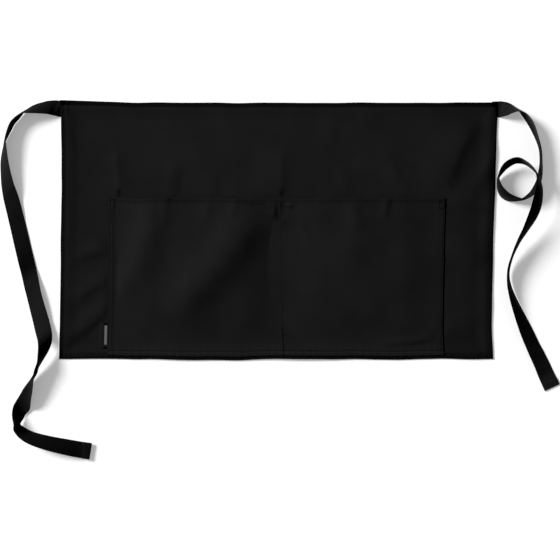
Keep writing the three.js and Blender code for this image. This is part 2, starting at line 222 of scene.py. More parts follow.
@dataclass(frozen=True)
class TuckShade:
    """A small painted shadow where the cloth tucks, at a place in millimetres, wide across and long
    down it.
    """

    place: Place
    wide: float
    long: float
    dark: float

    def __call__(self, s: Array, t: Array) -> Array:
        """Returns how much the painted shadow darkens the cloth at s, t."""
        across = bell((s / MM - self.place[0]) / self.wide)
        return self.dark * across * bell((t / MM - self.place[1]) / self.long)


@dataclass(frozen=True)
class Shade:
    """A painted dark line along an edge or a seam, as painted shade, or a painted light one where
    dark is below 0, as painted highlight.

    at is its distance from the edge and wide its width, both in millimetres.
    """

    at: float
    wide: float
    dark: float

    def __call__(self, distance: Array) -> Array:
        """Returns how much the line darkens the cloth at distances from the edge."""
        return self.dark * bell((distance - self.at * MM) / (self.wide * MM))


def folds_at(folds: tuple[Fold, ...], x: Array, y: Array) -> Array:
    """Adds up the heights of some folds at each x, y."""
    return sum((fold(x, y) for fold in folds), np.zeros(np.broadcast(x, y).shape))


@dataclass
class Mesh:
    """Points, quads and per-point values of one mesh, before it goes into Blender."""

    points: Array
    quads: Array
    uv: Array
    wear_and_shading: Array

    @staticmethod
    def together(parts: list[Mesh]) -> Mesh:
        """Makes one mesh of several.

        Args:
            parts: The meshes, in order.

        Returns:
            The whole mesh, with each part's quads counted on from the points before it.
        """
        first = np.cumsum([0, *(len(part.points) for part in parts)])
        return Mesh(
            np.vstack([part.points for part in parts]),
            np.vstack([part.quads + start for part, start in zip(parts, first)]),
            np.vstack([part.uv for part in parts]),
            np.concatenate([part.wear_and_shading for part in parts]),
        )

    def build(self, name: str) -> bpy.types.Object:
        """Puts the mesh into a new object at the origin, with no point below the floor.

        Args:
            name: The object's name.

        Returns:
            The object, linked into the scene, smooth shaded, with its UV map and its per-point
            attribute of rubbing, painted highlight and painted shade.
        """
        mesh = bpy.data.meshes.new(name)
        mesh.vertices.add(len(self.points))
        resting = np.maximum(self.points, (-np.inf, -np.inf, 0.0))
        mesh.vertices.foreach_set("co", resting.astype(np.float32).ravel())
        mesh.loops.add(self.quads.size)
        mesh.loops.foreach_set("vertex_index", self.quads.astype(np.int32).ravel())
        mesh.polygons.add(len(self.quads))
        mesh.polygons.foreach_set("loop_start", np.arange(0, self.quads.size, 4, dtype=np.int32))
        mesh.polygons.foreach_set("use_smooth", np.ones(len(self.quads), dtype=bool))
        mesh.update(calc_edges=True)
        layer = mesh.uv_layers.new(name="cloth")
        layer.data.foreach_set("uv", self.uv[self.quads.ravel()].astype(np.float32).ravel())
        wear_and_shading = mesh.attributes.new("wear_and_shading", "FLOAT", "POINT")
        wear_and_shading.data.foreach_set("value", self.wear_and_shading.astype(np.float32))
        mesh.validate()
        item = bpy.data.objects.new(name, mesh)
        bpy.context.scene.collection.objects.link(item)
        return item


def grid_quads(rows: int, columns: int) -> Array:
    """Quads of a grid of points, counterclockwise from above where rows go up and columns right.

    Args:
        rows: How many rows of points.
        columns: How many points in a row.

    Returns:
        Four point numbers for each quad: a corner, the next to its right and the two above them.
    """
    corner = (np.arange(rows - 1)[:, None] * columns + np.arange(columns - 1)[None, :]).ravel()
    return np.stack([corner, corner + 1, corner + columns + 1, corner + columns], axis=1)


def ring_walls(number: Array) -> Array:
    """Quads between rings of points that follow each other.

    Args:
        number: Point numbers, one row for each ring.

    Returns:
        Four point numbers for each quad, clockwise from outside.
    """
    turned = np.roll(number, -1, axis=1)
    return np.stack([number[:-1], number[1:], turned[1:], turned[:-1]], axis=-1).reshape(-1, 4)


def closed_sheet(top: Array, thickness: float, uv: Array, wear_and_shading: Array) -> Mesh:
    """A cloth of even thickness below a grid of points, with its four edges closed.

    Each under point is its top point moved back along the grid's normal by the thickness.

    Args:
        top: Points of the upper face, shaped rows, columns, 3.
        thickness: The cloth's thickness.
        uv: Place of each point on the flat cloth, shaped rows, columns, 2.
        wear_and_shading: Rubbing, painted highlight and painted shade at each point, shaped rows,
            columns.

    Returns:
        The closed mesh.
    """
    rows, columns = top.shape[:2]
    normal = unit(np.cross(np.gradient(top, axis=1), np.gradient(top, axis=0)))
    under = top - thickness * normal
    layer = rows * columns
    number = np.arange(layer).reshape(rows, columns)
    rim = np.concatenate([number[0, :], number[1:, -1], number[-1, -2::-1], number[-2:0:-1, 0]])
    following = np.roll(rim, -1)
    sides = np.stack([rim + layer, following + layer, following, rim], axis=1)
    faces = grid_quads(rows, columns)
    return Mesh(
        np.vstack([top.reshape(-1, 3), under.reshape(-1, 3)]),
        np.vstack([faces, (faces + layer)[:, ::-1], sides]),
        np.vstack([uv.reshape(-1, 2)] * 2),
        np.concatenate([wear_and_shading.ravel()] * 2),
    )


class Graph:
    """The node tree of one material, with one method that adds any node."""

    def __init__(self, name: str) -> None:
        """Starts an empty material.

        Args:
            name: The material's name.
        """
        self.material = bpy.data.materials.new(name)
        self.material.use_nodes = True
        self.tree = self.material.node_tree
        self.tree.nodes.clear()

    def node(
        self, kind: str, settings: dict | None = None, inputs: dict | None = None
    ) -> bpy.types.Node:
        """Adds a node.

        Args:
            kind: The node's type, such as ShaderNodeTexNoise.
            settings: Its properties, which are set first.
            inputs: Values or links for its sockets, by name or number.

        Returns:
            The new node.
        """
        node = self.tree.nodes.new(kind)
        for key, value in (settings or {}).items():
            setattr(node, key, value)
        for key, value in (inputs or {}).items():
            socket = node.inputs[key]
            if isinstance(value, Value):
                value = value.socket
            if isinstance(value, bpy.types.NodeSocket):
                self.tree.links.new(value, socket)
            else:
                socket.default_value = value
        return node

    def noise(self, at: bpy.types.NodeSocket, scale: float, detail: float) -> Value:
        """A noise texture's value at a place."""
        inputs = {"Vector": at, "Scale": scale, "Detail": detail, "Roughness": 0.6}
        return Value(self, self.node("ShaderNodeTexNoise", {}, inputs).outputs["Fac"])

    def mix(
        self, share: Value, low: Colour | bpy.types.NodeSocket, high: Colour
    ) -> bpy.types.NodeSocket:
        """Adds a colour mix.

        Args:
            share: How far the colour is from low, 0, to high, 1.
            low: A colour, or the link of one.
            high: A colour.

        Returns:
            The mixed colour's socket.
        """
        settings = {"data_type": "RGBA", "clamp_factor": True}
        start = (*low, 1.0) if isinstance(low, tuple) else low
        inputs = {0: share, 6: start, 7: (*high, 1.0)}
        return self.node("ShaderNodeMix", settings, inputs).outputs[2]


@dataclass(frozen=True)
class Value:
    """A number in a node tree: Python's operators on it add Math nodes."""

    graph: Graph
    socket: bpy.types.NodeSocket

    def math(self, operation: str, *others: Value | float, swap: bool = False) -> Value:
        """Adds a Math node on this value and others.

        Args:
            operation: The node's operation.
            others: The other terms.
            swap: Whether the terms go in from last to first.

        Returns:
            The node's result.
        """
        terms = [self, *others][::-1] if swap else [self, *others]
        node = self.graph.node("ShaderNodeMath", {"operation": operation}, dict(enumerate(terms)))
        return Value(self.graph, node.outputs[0])

    def __add__(self, other: Value | float) -> Value:
        """This value plus another."""
        return self.math("ADD", other)

    __radd__ = __add__

    def __mul__(self, other: Value | float) -> Value:
        """This value times another."""
        return self.math("MULTIPLY", other)

    __rmul__ = __mul__

    def __sub__(self, other: Value | float) -> Value:
        """This value less another."""
        return self.math("SUBTRACT", other)

    def __rsub__(self, other: float) -> Value:
        """Another value less this one."""
        return self.math("SUBTRACT", other, swap=True)

    def wave(self) -> Value:
        """A sine of this value in turns, from 0 to 1."""
        return (self * (2 * math.pi)).math("SINE") * 0.5 + 0.5

    def step(self, low: float, high: float) -> Value:
        """Rises smoothly from 0 at low to 1 at high."""
        settings, inputs = {"interpolation_type": "SMOOTHSTEP"}, {0: self, 1: low, 2: high}
        return Value(self.graph, self.graph.node("ShaderNodeMapRange", settings, inputs).outputs[0])


class Weave(Enum):
    """How a cloth's threads cross."""

    TWILL = "diagonal ribs"
    HERRINGBONE = "ribs that turn back in rows along the tape"
    SATIN = "fine close ribs across the label"
    PLY = "two strands twisted round each other"


@dataclass(frozen=True)
class Stripe:
    """A plain soft-edged rectangle of another colour, placed on a piece's own UV map."""

    colour: Colour
    across: tuple[float, float] = (7.6 * MM, 12.4 * MM)
    along: tuple[float, float] = (6.6 * MM, 38.4 * MM)
    soft_side: float = 0.8 * MM
    soft_end: float = 1.0 * MM

    def share(self, u: Value, v: Value) -> Value:
        """The stripe's mask.

        Args:
            u: The place across the piece.
            v: The place along it.

        Returns:
            1 inside the stripe, eased to 0 over its soft sides and ends.
        """
        (left, right), (low, high) = self.across, self.along
        across = u.step(left, left + self.soft_side) * (1.0 - u.step(right - self.soft_side, right))
        along = v.step(low, low + self.soft_end) * (1.0 - v.step(high - self.soft_end, high))
        return across * along


@dataclass(frozen=True)
class ClothFinish:
    """A dyed cloth or thread: two close tones, a weave in relief and a dull sheen.

    The base colour goes between deep and faded with large soft noise and fine thread noise. It goes
    towards the paler tone where the piece's per-point value is above 0, as rubbing and painted
    highlight, and towards black where it is below 0, as painted shade. gloss is the share of light
    that the threads send on as a dull metal does, without the pale rim that a varnish has where it
    is seen from the side. sheen is the soft light that the cloth's fibres catch there.
    """

    name: str
    slot: str
    weave: Weave
    pitch: float
    deep: Colour
    faded: Colour
    worn_and_lit: Colour
    relief: float
    roughness: float
    gloss: float
    sheen: float = 0.0
    stripe: Stripe | None = None
    cloud_scale: float = 14.0
    fibre_scale: float = 900.0

    def thread_relief(self, u: Value, v: Value) -> Value:
        """The weave's height: a sine for the ribs and a weaker, finer one for the yarns.

        Args:
            u: The place across the cloth, in metres.
            v: The place along it.

        Returns:
            The height, from 0 to 1.
        """
        per = 1.0 / self.pitch
        if self.weave is Weave.TWILL:
            rib = ((u + v) * per).wave()
            yarn = ((u - v) * (per * 2.0)).wave()
            return rib * 0.75 + yarn * 0.25
        if self.weave is Weave.HERRINGBONE:
            row = u.math("PINGPONG", HERRINGBONE_ROW)
            rib = ((row * 1.6 + v) * per).wave()
            return rib * 0.8 + (u * (per * 2.0)).wave() * 0.2
        if self.weave is Weave.SATIN:
            return (v * per).wave() * 0.6 + (u * (per * 0.7)).wave() * 0.4
        return ((u + v) * per).wave()

    def material(self) -> bpy.types.Material:
        """Builds the finish's material.

        Returns:
            The material, whose shader reads the UV map cloth and the per-point attribute of
            rubbing, painted highlight and painted shade.
        """
        graph = Graph(self.name)
        uv = graph.node("ShaderNodeUVMap", {"uv_map": "cloth"}).outputs[0]
        place = graph.node("ShaderNodeTexCoord").outputs["Object"]
        parts = graph.node("ShaderNodeSeparateXYZ", {}, {0: uv}).outputs
        u, v = Value(graph, parts[0]), Value(graph, parts[1])
        wear_shading_attribute = graph.node("ShaderNodeAttribute", {"attribute_name": "wear_and_shading"})
        wear_and_shading = Value(graph, wear_shading_attribute.outputs["Fac"])
        cloud = graph.noise(place, self.cloud_scale, 4.0)
        fibre = graph.noise(place, self.fibre_scale, 3.0)
        tone = (cloud * 0.65 + fibre * 0.35).step(0.25, 0.75)
        # The per-point value makes the colour paler above 0, as rubbing and painted highlight, and
        # black below 0, as painted shade.
        colour = graph.mix(wear_and_shading, graph.mix(tone, self.deep, self.faded), self.worn_and_lit)
        colour = graph.mix(0.0 - wear_and_shading, colour, SHADE_AND_BAND_BLACK)
        if self.stripe:
            colour = graph.mix(self.stripe.share(u, v), colour, self.stripe.colour)
        relief = self.thread_relief(u, v) * 0.8 + fibre * 0.4
        inputs = {"Strength": 0.9, "Distance": self.relief, "Height": relief}
        bump = graph.node("ShaderNodeBump", {}, inputs).outputs[0]
        surface = graph.node("ShaderNodeBsdfPrincipled", {}, {
            "Base Color": colour,
            "Roughness": (cloud - 0.5) * 0.12 + self.roughness,
            "Normal": bump,
            "Metallic": self.gloss,
            "Sheen Weight": self.sheen,
            "Sheen Roughness": 0.35,
            "Specular IOR Level": 0.0,
            "Specular Tint": (0.0, 0.0, 0.0, 1.0),
        })
        graph.node("ShaderNodeOutputMaterial", {}, {0: surface.outputs[0]})
        return graph.material


TWILL = ClothFinish(
    name="black_twill", slot="twill", weave=Weave.TWILL, pitch=0.9 * MM,
    deep=(0.0124, 0.0124, 0.0127), faded=(0.0153, 0.0153, 0.0157), worn_and_lit=(0.021, 0.021, 0.0215),
    relief=0.09 * MM, roughness=0.6, gloss=0.15,
)
TAPE = ClothFinish(
    name="black_tape", slot="tape", weave=Weave.HERRINGBONE, pitch=1.1 * MM,
    deep=(0.0076, 0.0076, 0.0079), faded=(0.0101, 0.0101, 0.0105), worn_and_lit=(0.0135, 0.0135, 0.0139),
    relief=0.12 * MM, roughness=0.55, gloss=0.0, sheen=0.1,
)
THREAD = ClothFinish(
    name="black_thread", slot="thread", weave=Weave.PLY, pitch=0.45 * MM,
    deep=(0.014, 0.014, 0.0145), faded=(0.018, 0.018, 0.0186), worn_and_lit=(0.022, 0.022, 0.0225),
    relief=0.05 * MM, roughness=0.5, gloss=0.3,
)
WOVEN_LABEL = ClothFinish(
    name="woven_label", slot="label", weave=Weave.SATIN, pitch=0.35 * MM,
    deep=(0.012, 0.012, 0.0124), faded=(0.0148, 0.0148, 0.0153), worn_and_lit=(0.017, 0.017, 0.0175),
    relief=0.04 * MM, roughness=0.55, gloss=0.3, stripe=Stripe((0.13, 0.13, 0.132)),
)


@dataclass(frozen=True)
class Layout:
    """The flat apron's sizes, which the panel, hems, pocket, label, tacks and ties share.

    side_left and side_right hold how far each side leans out, in shares of the width, at
    side_knots from the waist down. waist_up and bottom_down hold the waist's rise and the bottom's
    fall, in shares of the length, at their knots from left to right.
    """

    width: float = 706 * MM
    length: float = 418 * MM
    cloth: float = 1.2 * MM
    gap: float = 0.3 * MM
    hem_side: float = 10 * MM
    hem_waist: float = 8 * MM
    hem_bottom: float = 7 * MM
    hem_thickness: float = 1.6 * MM
    hem_ramp: float = 19 * MM
    pocket_from_left: float = 78.5 * MM
    pocket_from_right: float = 80 * MM
    pocket_below_waist: float = 157 * MM
    pocket_above_bottom: float = 5.6 * MM
    side_knots: tuple[float, ...] = (0, 0.25, 0.5, 0.75, 0.87, 1)
    side_left: tuple[float, ...] = (0.0019, -0.0013, 0.0014, 0.0025, 0.0029, 0.0057)
    side_right: tuple[float, ...] = (0.0065, 0.0032, -0.003, -0.0058, -0.0062, -0.0038)
    waist_knots: tuple[float, ...] = (0, 0.11, 0.3, 0.87, 1)
    waist_up: tuple[float, ...] = (0.0078, 0.0002, -0.0026, -0.0028, -0.0008)
    bottom_knots: tuple[float, ...] = (0, 0.11, 0.16, 0.32, 0.42, 0.5, 0.56, 0.78, 0.88, 0.93, 1)
    bottom_down: tuple[float, ...] = (
        0.0015, 0.0018, 0.0, 0.0062, 0.0052, 0.001, 0.0012, 0.0042, 0.0, 0.003, 0.0012,
    )

    @property
    def margin_lift(self) -> float:
        """How far the margins stand off the floor on their hems."""
        return self.hem_thickness + self.gap

    @property
    def pocket_left(self) -> float:
        """The pocket's left edge on the flat rectangle."""
        return -self.width / 2 + self.pocket_from_left

    @property
    def pocket_right(self) -> float:
        """The pocket's right edge on the flat rectangle."""
        return self.width / 2 - self.pocket_from_right

    @property
    def pocket_mouth(self) -> float:
        """The pocket's upper edge on the flat rectangle."""
        return self.length / 2 - self.pocket_below_waist

    @property
    def pocket_bottom(self) -> float:
        """The pocket's lower edge on the flat rectangle."""
        return -self.length / 2 + self.pocket_above_bottom

    @property
    def pocket_flat(self) -> Place:
        """The pocket's flat width and length."""
        return self.pocket_right - self.pocket_left, self.pocket_mouth - self.pocket_bottom

    def place(self, s: Array, t: Array) -> tuple[Array, Array]:
        """Moves points of the flat rectangle to the apron's true outline.

        The margins follow their edges without changing width, the cloth between takes up the
        difference, and the edges wander a little. The waist's rise fades with the fourth power of
        the way up to it, and the bottom's fall with the sixth power of the way down.

        Args:
            s: Places along the waist.
            t: Places towards the waist.

        Returns:
            The x and y of each point.
        """
        edge = self.hem_side + self.gap + self.hem_ramp
        share = np.clip((s + self.width / 2 - edge) / (self.width - 2 * edge), 0, 1)
        down = (self.length / 2 - t) / self.length
        across = (s + self.width / 2) / self.width
        left = smooth_table(self.side_knots, self.side_left, down)
        right = smooth_table(self.side_knots, self.side_right, down)
        up = smooth_table(self.waist_knots, self.waist_up, across)
        wander = Ripple(seed=5, wavelength=90 * MM, high=0.35 * MM)
        x = s + self.width * (right * share - left * (1 - share)) + wander(s * 0 + 1, t)
        low = smooth_table(self.bottom_knots, self.bottom_down, across)
        inside = np.clip(down, 0, 1)
        y = t + self.length * (up * (1 - inside) ** 4 - low * inside**6) + wander(s, t * 0 + 2)
        return x, y


LAYOUT = Layout()


def bottom_lift(s: Array, t: Array) -> Array:
    """The low wave in which the bottom edge stands off the floor, a little right of its middle."""
    wave = 3.6 * MM * bell((s - 38 * MM) / (70 * MM)) + 1.6 * MM * bell((s + 150 * MM) / (60 * MM))
    return wave * ease(1 - (t + LAYOUT.length / 2) / (38 * MM))


def over_hem(distance: Array, width: float) -> Array:
    """1 over a hem of some width, easing to 0 across the ramp beside it."""
    return ease(1 - (distance - width - LAYOUT.gap) / LAYOUT.hem_ramp)


@dataclass(frozen=True)
class Seam:
    """A row of stitches that draws the cloth down into a groove and puckers it.

    The height is minus deep times a bell curve of the distance over narrow, plus pucker times a
    sine along the seam that dies away over broad.
    """

    deep: float = 0.42 * MM
    narrow: float = 1.1 * MM
    pucker: float = 0.16 * MM
    broad: float = 5.0 * MM
    pucker_length: float = 8.5 * MM

    def __call__(self, distance: Array, along: Array) -> Array:
        """Works out the seam's height.

        Args:
            distance: Distances from the seam.
            along: Places along it.

        Returns:
            The height at each place, below 0 in the groove.
        """
        groove = -self.deep * bell(distance / self.narrow)
        turn = 2 * math.pi * along / self.pucker_length
        waves = np.sin(turn + 1.7 * np.sin(turn * 0.23)) + 0.6 * np.sin(turn * 0.61 + 2.0)
        return groove + self.pucker * waves * bell(distance / self.broad)


@dataclass(frozen=True)
class Roll:
    """Stations across one side of a sheet whose edge rolls over.

    Over the edge the surface follows a quarter circle and more: a station at angle a lies
    radius sin a past the flat and radius (1 - cos a) below it.
    """

    place: Array
    cosine: Array

    @staticmethod
    def across(
        low: float, high: float, inner: Array, radius: float, over: float = 155.0, steps: int = 8
    ) -> Roll:
        """Builds the stations from one edge to the other.

        Args:
            low: The lower edge.
            high: The upper edge.
            inner: Stations of the flat part, within radius of both edges.
            radius: Radius of the rolled edges.
            over: How far the roll turns, in degrees.
            steps: Stations on each roll.

        Returns:
            The places and the cosines of the roll's angle, 1 on the flat.
        """
        angle = np.radians(np.linspace(over, over / steps, steps))
        back = angle[::-1]
        before = low + radius - radius * np.sin(angle)
        after = high - radius + radius * np.sin(back)
        cosines = [np.cos(angle), np.ones_like(inner), np.cos(back)]
        return Roll(np.concatenate([before, inner, after]), np.concatenate(cosines))


def rolled_sheet(
    across: Roll, down: Roll, radius: float, thickness: float, height: Shape, shade_and_band: Shape
) -> Mesh:
    """A sheet with rolled edges over the apron's outline.

    Args:
        across: Stations along the waist.
        down: Stations towards the waist.
        radius: Radius of the rolled edges.
        thickness: The sheet's thickness.
        height: Gives the upper face's height at s, t.
        shade_and_band: Gives the painted shade at s, t, with the panel's darker waist band.

    Returns:
        The closed mesh, paler along the rolled edges, as rubbing and painted highlight, and
        darkened by the painted shade.
    """
    s, t = np.meshgrid(across.place, down.place)
    cosine = np.minimum(across.cosine[None, :], down.cosine[:, None])
    x, y = LAYOUT.place(s, t)
    z = height(s, t) - radius * (1 - cosine)
    # Paler over the rolled edges, as rubbing and painted highlight, less the painted shade.
    wear_and_shading = 0.3 * bell((cosine - 0.75) / 0.3) * (cosine < 0.999) - shade_and_band(s, t)
    return closed_sheet(np.stack([x, y, z], axis=-1), thickness, np.stack([s, t], axis=-1), wear_and_shading)


@dataclass
class StitchRow:
    """A row of separate thread stitches along a line on the cloth.

    Each stitch is a short tube that rises out of the cloth and dips back in: its middle line is
    an arch over the surface, and its radius shrinks towards both ends.
    """

    pitch: float = 2.9 * MM
    share: float = 0.8
    radius: float = 0.22 * MM
    arch: float = 0.28 * MM
    sink: float = 0.1 * MM
    sides: int = 6

    def mesh(self, line: Array, normal: Array) -> Mesh:
        """Builds the row.

        Args:
            line: Points along the row on the cloth's surface.
            normal: The surface's normal at each point.

        Returns:
            All the stitches as one mesh.
        """
        start = np.concatenate([[0.0], np.cumsum(np.linalg.norm(np.diff(line, axis=0), axis=1))])
        count = max(1, int(start[-1] / self.pitch))
        middle = (np.arange(count) + 0.5) * start[-1] / count
        half = self.share * start[-1] / count / 2
        along = np.array([-1.0, -0.7, 0.0, 0.7, 1.0])
        thick = np.array([0.4, 0.85, 1.0, 0.85, 0.4]) * self.radius
        rise = self.arch * (1 - along**2) - self.sink
        at = middle[:, None] + half * along[None, :]
        spot = np.stack([np.interp(at, start, line[:, k]) for k in range(3)], axis=-1)
        up = unit(np.stack([np.interp(at, start, normal[:, k]) for k in range(3)], axis=-1))
        heading = unit(np.gradient(spot, axis=1))
        side = unit(np.cross(up, heading))
        angle = 2 * math.pi * np.arange(self.sides) / self.sides
        core = spot + up * rise[None, :, None]
        outward = (
            side[:, :, None, :] * np.cos(angle)[None, None, :, None]
            + up[:, :, None, :] * np.sin(angle)[None, None, :, None]
        )
        ring = core[:, :, None, :] + thick[None, :, None, None] * outward
        base = np.arange(len(along) * self.sides).reshape(len(along), self.sides)
        first, last = base[0], base[-1]
        caps = np.stack([
            first[[0, 1, 2, 3]], first[[0, 3, 4, 5]], last[[3, 2, 1, 0]], last[[5, 4, 3, 0]],
        ])
        one = np.vstack([ring_walls(base), caps])[:, ::-1]
        quads = (one[None] + (np.arange(count) * base.size)[:, None, None]).reshape(-1, 4)
        u = np.broadcast_to(at[:, :, None], ring.shape[:3])
        v = np.broadcast_to(angle[None, None, :] * self.radius, ring.shape[:3])
        uv = np.stack([u, v], axis=-1).reshape(-1, 2)
        return Mesh(ring.reshape(-1, 3), quads, uv, np.full(quads.max() + 1, 0.2))


def line_on(
    height: Shape, corners: tuple[Place, ...], step: float = 1.0 * MM
) -> tuple[Array, Array]:
    """Points and normals along straight runs between corners of the flat cloth.

    Args:
        height: Gives the cloth's height at s, t.
        corners: The runs' corners on the flat rectangle.
        step: Distance between points.

    Returns:
        The points on the cloth and the unit normals there, from the height's slope.
    """
    runs = []
    for (s0, t0), (s1, t1) in zip(corners[:-1], corners[1:]):
        count = max(3, int(math.hypot(s1 - s0, t1 - t0) / step))
        share = np.linspace(0, 1, count)
        runs.append(np.stack([s0 + (s1 - s0) * share, t0 + (t1 - t0) * share], axis=1))
    path = np.vstack(runs)
    s, t = path[:, 0], path[:, 1]
    x, y = LAYOUT.place(s, t)
    small = 0.5 * MM
    slope_s = (height(s + small, t) - height(s - small, t)) / (2 * small)
    slope_t = (height(s, t + small) - height(s, t - small)) / (2 * small)
    normal = unit(np.stack([-slope_s, -slope_t, np.ones_like(s)], axis=1))
    return np.stack([x, y, height(s, t)], axis=1), normal


def sewn_rows(
    height: Shape, runs: Iterable[tuple[Place, ...]], row: StitchRow | None = None
) -> Mesh:
    """Rows of stitches along several runs on the cloth, as one mesh.

    Args:
        height: Gives the cloth's height at s, t.
        runs: The corners of each run on the flat rectangle.
        row: How the stitches look, where they aren't the usual ones.

    Returns:
        The stitches.
    """
    return Mesh.together([(row or StitchRow()).mesh(*line_on(height, run)) for run in runs])


def finish_piece(item: bpy.types.Object, finish: ClothFinish, *nodes: str) -> bpy.types.Object:
    """Gives a piece its material and body, and names the nodes that it stands for.

    Args:
        item: The piece.
        finish: Its finish.
        nodes: Names of the CAD nodes that it replaces.

    Returns:
        The piece.
    """
    material = bpy.data.materials.get(finish.name) or finish.material()
    item.data.materials.append(material)
    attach(item, BODY)
    if nodes:
        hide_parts(*nodes)
    LOG.info("%s: %d faces", item.name, len(item.data.polygons))
    return item


@dataclass
class Panel:
    """The hemmed cloth panel with its four hems and their stitching."""

    edge_radius: float = 1.12 * MM
    sheet: float = 0.9 * MM
    fine: float = 0.9 * MM
    coarse: float = 3.07 * MM
    margin_side: float = 18 * MM
    margin_end: float = 16 * MM
    free_over: float = 7 * MM
    hem_step: float = 2.5 * MM
    hem_inset: float = 1.9 * MM
    hem_above_floor: float = 0.12 * MM
    tie_room: float = 25 * MM
    side_stitch: float = 6.2 * MM
    waist_stitch: float = 8.6 * MM
    bottom_stitch: float = 7.2 * MM
    left_pull: float = 0.5
    right_pull: float = 0.6
    waist_pull: float = 0.4
    bottom_pull: float = 1.5
    pull_off_hem: float = 0.3
    band_dark: float = 0.48
    band_down: float = 8.4 * MM
    band_over: float = 2 * MM
    # Painted shade along the side and bottom edges: a narrow dark line and a wide faint one.
    edge_shades: tuple[Shade, ...] = (Shade(0, 7, 0.45), Shade(0, 75, 0.13))
    seam: Seam = Seam()
    folds: tuple[Fold, ...] = (
        Fold(((5, 144), (5, 98), (5, 41)), (30, 15), 3.5, crisp=True, fade=0.35),
        Fold(((-267, 147), (-261, 95), (-256, 43)), (12, 24), 3.0, crisp=True, fade=0.35),
        Fold(((-160, 131), (-170, 89), (-178, 40)), (14, 12), 1.7, fade=0.45),
        Fold(((-104, 115), (-109, 40)), (12, 12), 0.9, fade=0.45),
        Fold(((326, 200), (292, 131), (261, 50)), (30, 14), 4.6, fade=0.4),
        Fold(((359, 160), (341, 105), (303, 40)), (13, 15), 3.0, fade=0.4),
        Fold(((173, 118), (199, 79), (225, 40)), (14, 12), 1.6, fade=0.45),
        Fold(((101, 115), (114, 40)), (12, 12), 1.0, fade=0.45),
        Fold(((65, 183), (121, 186), (186, 173)), (9, 14), 1.2, fade=0.45),
        Fold(((-346, -48), (-303, -38), (-267, -27)), (9, 16), 2.4, fade=0.4),
        Fold(((-339, -118), (-303, -96), (-267, -68)), (9, 17), 2.2, fade=0.4),
        Fold(((-349, -185), (-306, -153), (-267, -117)), (10, 17), 3.2, fade=0.35),
        Fold(((264, -21), (303, -38), (346, -61)), (15, 26), 2.8, fade=0.4),
        Fold(((264, 54), (303, 45), (346, 33)), (11, 12), 1.8, fade=0.4),
        Fold(((264, -149), (297, -161), (339, -172)), (12, 24), 2.4, fade=0.4),
    )
    # Small painted shadows where the cloth tucks, above the tacks and at the top corners.
    tuck_shades: tuple[TuckShade, ...] = (
        TuckShade((5, 61), 2.6, 7, 0.6), TuckShade((-260, 62), 3, 6, 0.6),
        TuckShade((-340, 194), 2.0, 14, 0.32), TuckShade((352, 196), 3.5, 8, 0.35),
    )

    def height(self, s: Array, t: Array) -> Array:
        """Height of the panel's upper face.

        It is the cloth's thickness, the margins' lift eased down beside the hems, the bottom edge's
        wave, the folds with a slight unevenness where the pocket leaves the cloth free, and the
        seams, which draw the cloth down fully over the hems alone.

        Args:
            s: Places along the waist.
            t: Places towards the waist.

        Returns:
            The height at each place.
        """
        half_w, half_l = LAYOUT.width / 2, LAYOUT.length / 2
        left, right, waist, bottom = s + half_w, half_w - s, half_l - t, t + half_l
        on_hem = np.maximum.reduce([
            over_hem(left, LAYOUT.hem_side), over_hem(right, LAYOUT.hem_side),
            over_hem(waist, LAYOUT.hem_waist), over_hem(bottom, LAYOUT.hem_bottom),
        ])
        beside = np.maximum(LAYOUT.pocket_left - s, s - LAYOUT.pocket_right)
        free = ease(np.maximum(beside, t - LAYOUT.pocket_mouth) / self.free_over)
        rough = Ripple(seed=11, wavelength=70 * MM, high=0.35 * MM)(s, t)
        seams = (
            self.left_pull * self.seam(left - self.side_stitch, t)
            + self.right_pull * self.seam(right - self.side_stitch, t + 0.3)
            + self.waist_pull * self.seam(waist - self.waist_stitch, s)
            + self.bottom_pull * self.seam(bottom - self.bottom_stitch, s + 0.2)
        )
        base = LAYOUT.margin_lift * on_hem + LAYOUT.cloth
        lifted = np.maximum(folds_at(self.folds, s, t) + rough, 0.0)
        drawn = self.pull_off_hem + (1 - self.pull_off_hem) * on_hem
        return base + bottom_lift(s, t) + lifted * free + seams * drawn

    def shade_and_band(self, s: Array, t: Array) -> Array:
        """How dark the cloth is painted: a darker band along the waist, painted shade along the
        side and bottom edges, and small painted shadows at tucks.

        Args:
            s: Places along the waist.
            t: Places towards the waist.

        Returns:
            The darkness at each place: an eased step at the band's lower edge, a narrow and a wide
            bell curve of the distance from the side and bottom edges, as painted shade, and the
            tucks' painted shadows.
        """
        waist = LAYOUT.length / 2 - t
        rim = np.minimum(LAYOUT.width / 2 - np.abs(s), t + LAYOUT.length / 2)
        band = self.band_dark * ease((self.band_down - waist) / self.band_over)
        edges = sum(shade(rim) for shade in self.edge_shades)
        return band + edges + sum(tuck_shade(s, t) for tuck_shade in self.tuck_shades)

    def stations(self, half: float, margin: float) -> Array:
        """Grid stations from edge to edge, finer over the margins.

        Args:
            half: Half the panel's size.
            margin: Width of the fine stretch at each edge.

        Returns:
            The stations of the flat part, between the rolled edges.
        """
        flat = half - self.edge_radius
        inner = half - margin
        return np.concatenate([
            even(-flat, -inner, self.fine)[:-1],
            even(-inner, inner, self.coarse),
            even(inner, flat, self.fine)[1:],
        ])

    def build_sheet(self) -> bpy.types.Object:
        """Builds the panel, with its margins rolled over the hems.

        Returns:
            The panel.
        """
        half_w, half_l, radius = LAYOUT.width / 2, LAYOUT.length / 2, self.edge_radius
        across = Roll.across(-half_w, half_w, self.stations(half_w, self.margin_side), radius)
        down = Roll.across(-half_l, half_l, self.stations(half_l, self.margin_end), radius)
        mesh = rolled_sheet(across, down, radius, self.sheet, self.height, self.shade_and_band)
        return finish_piece(mesh.build("apron_panel"), TWILL, "panel")

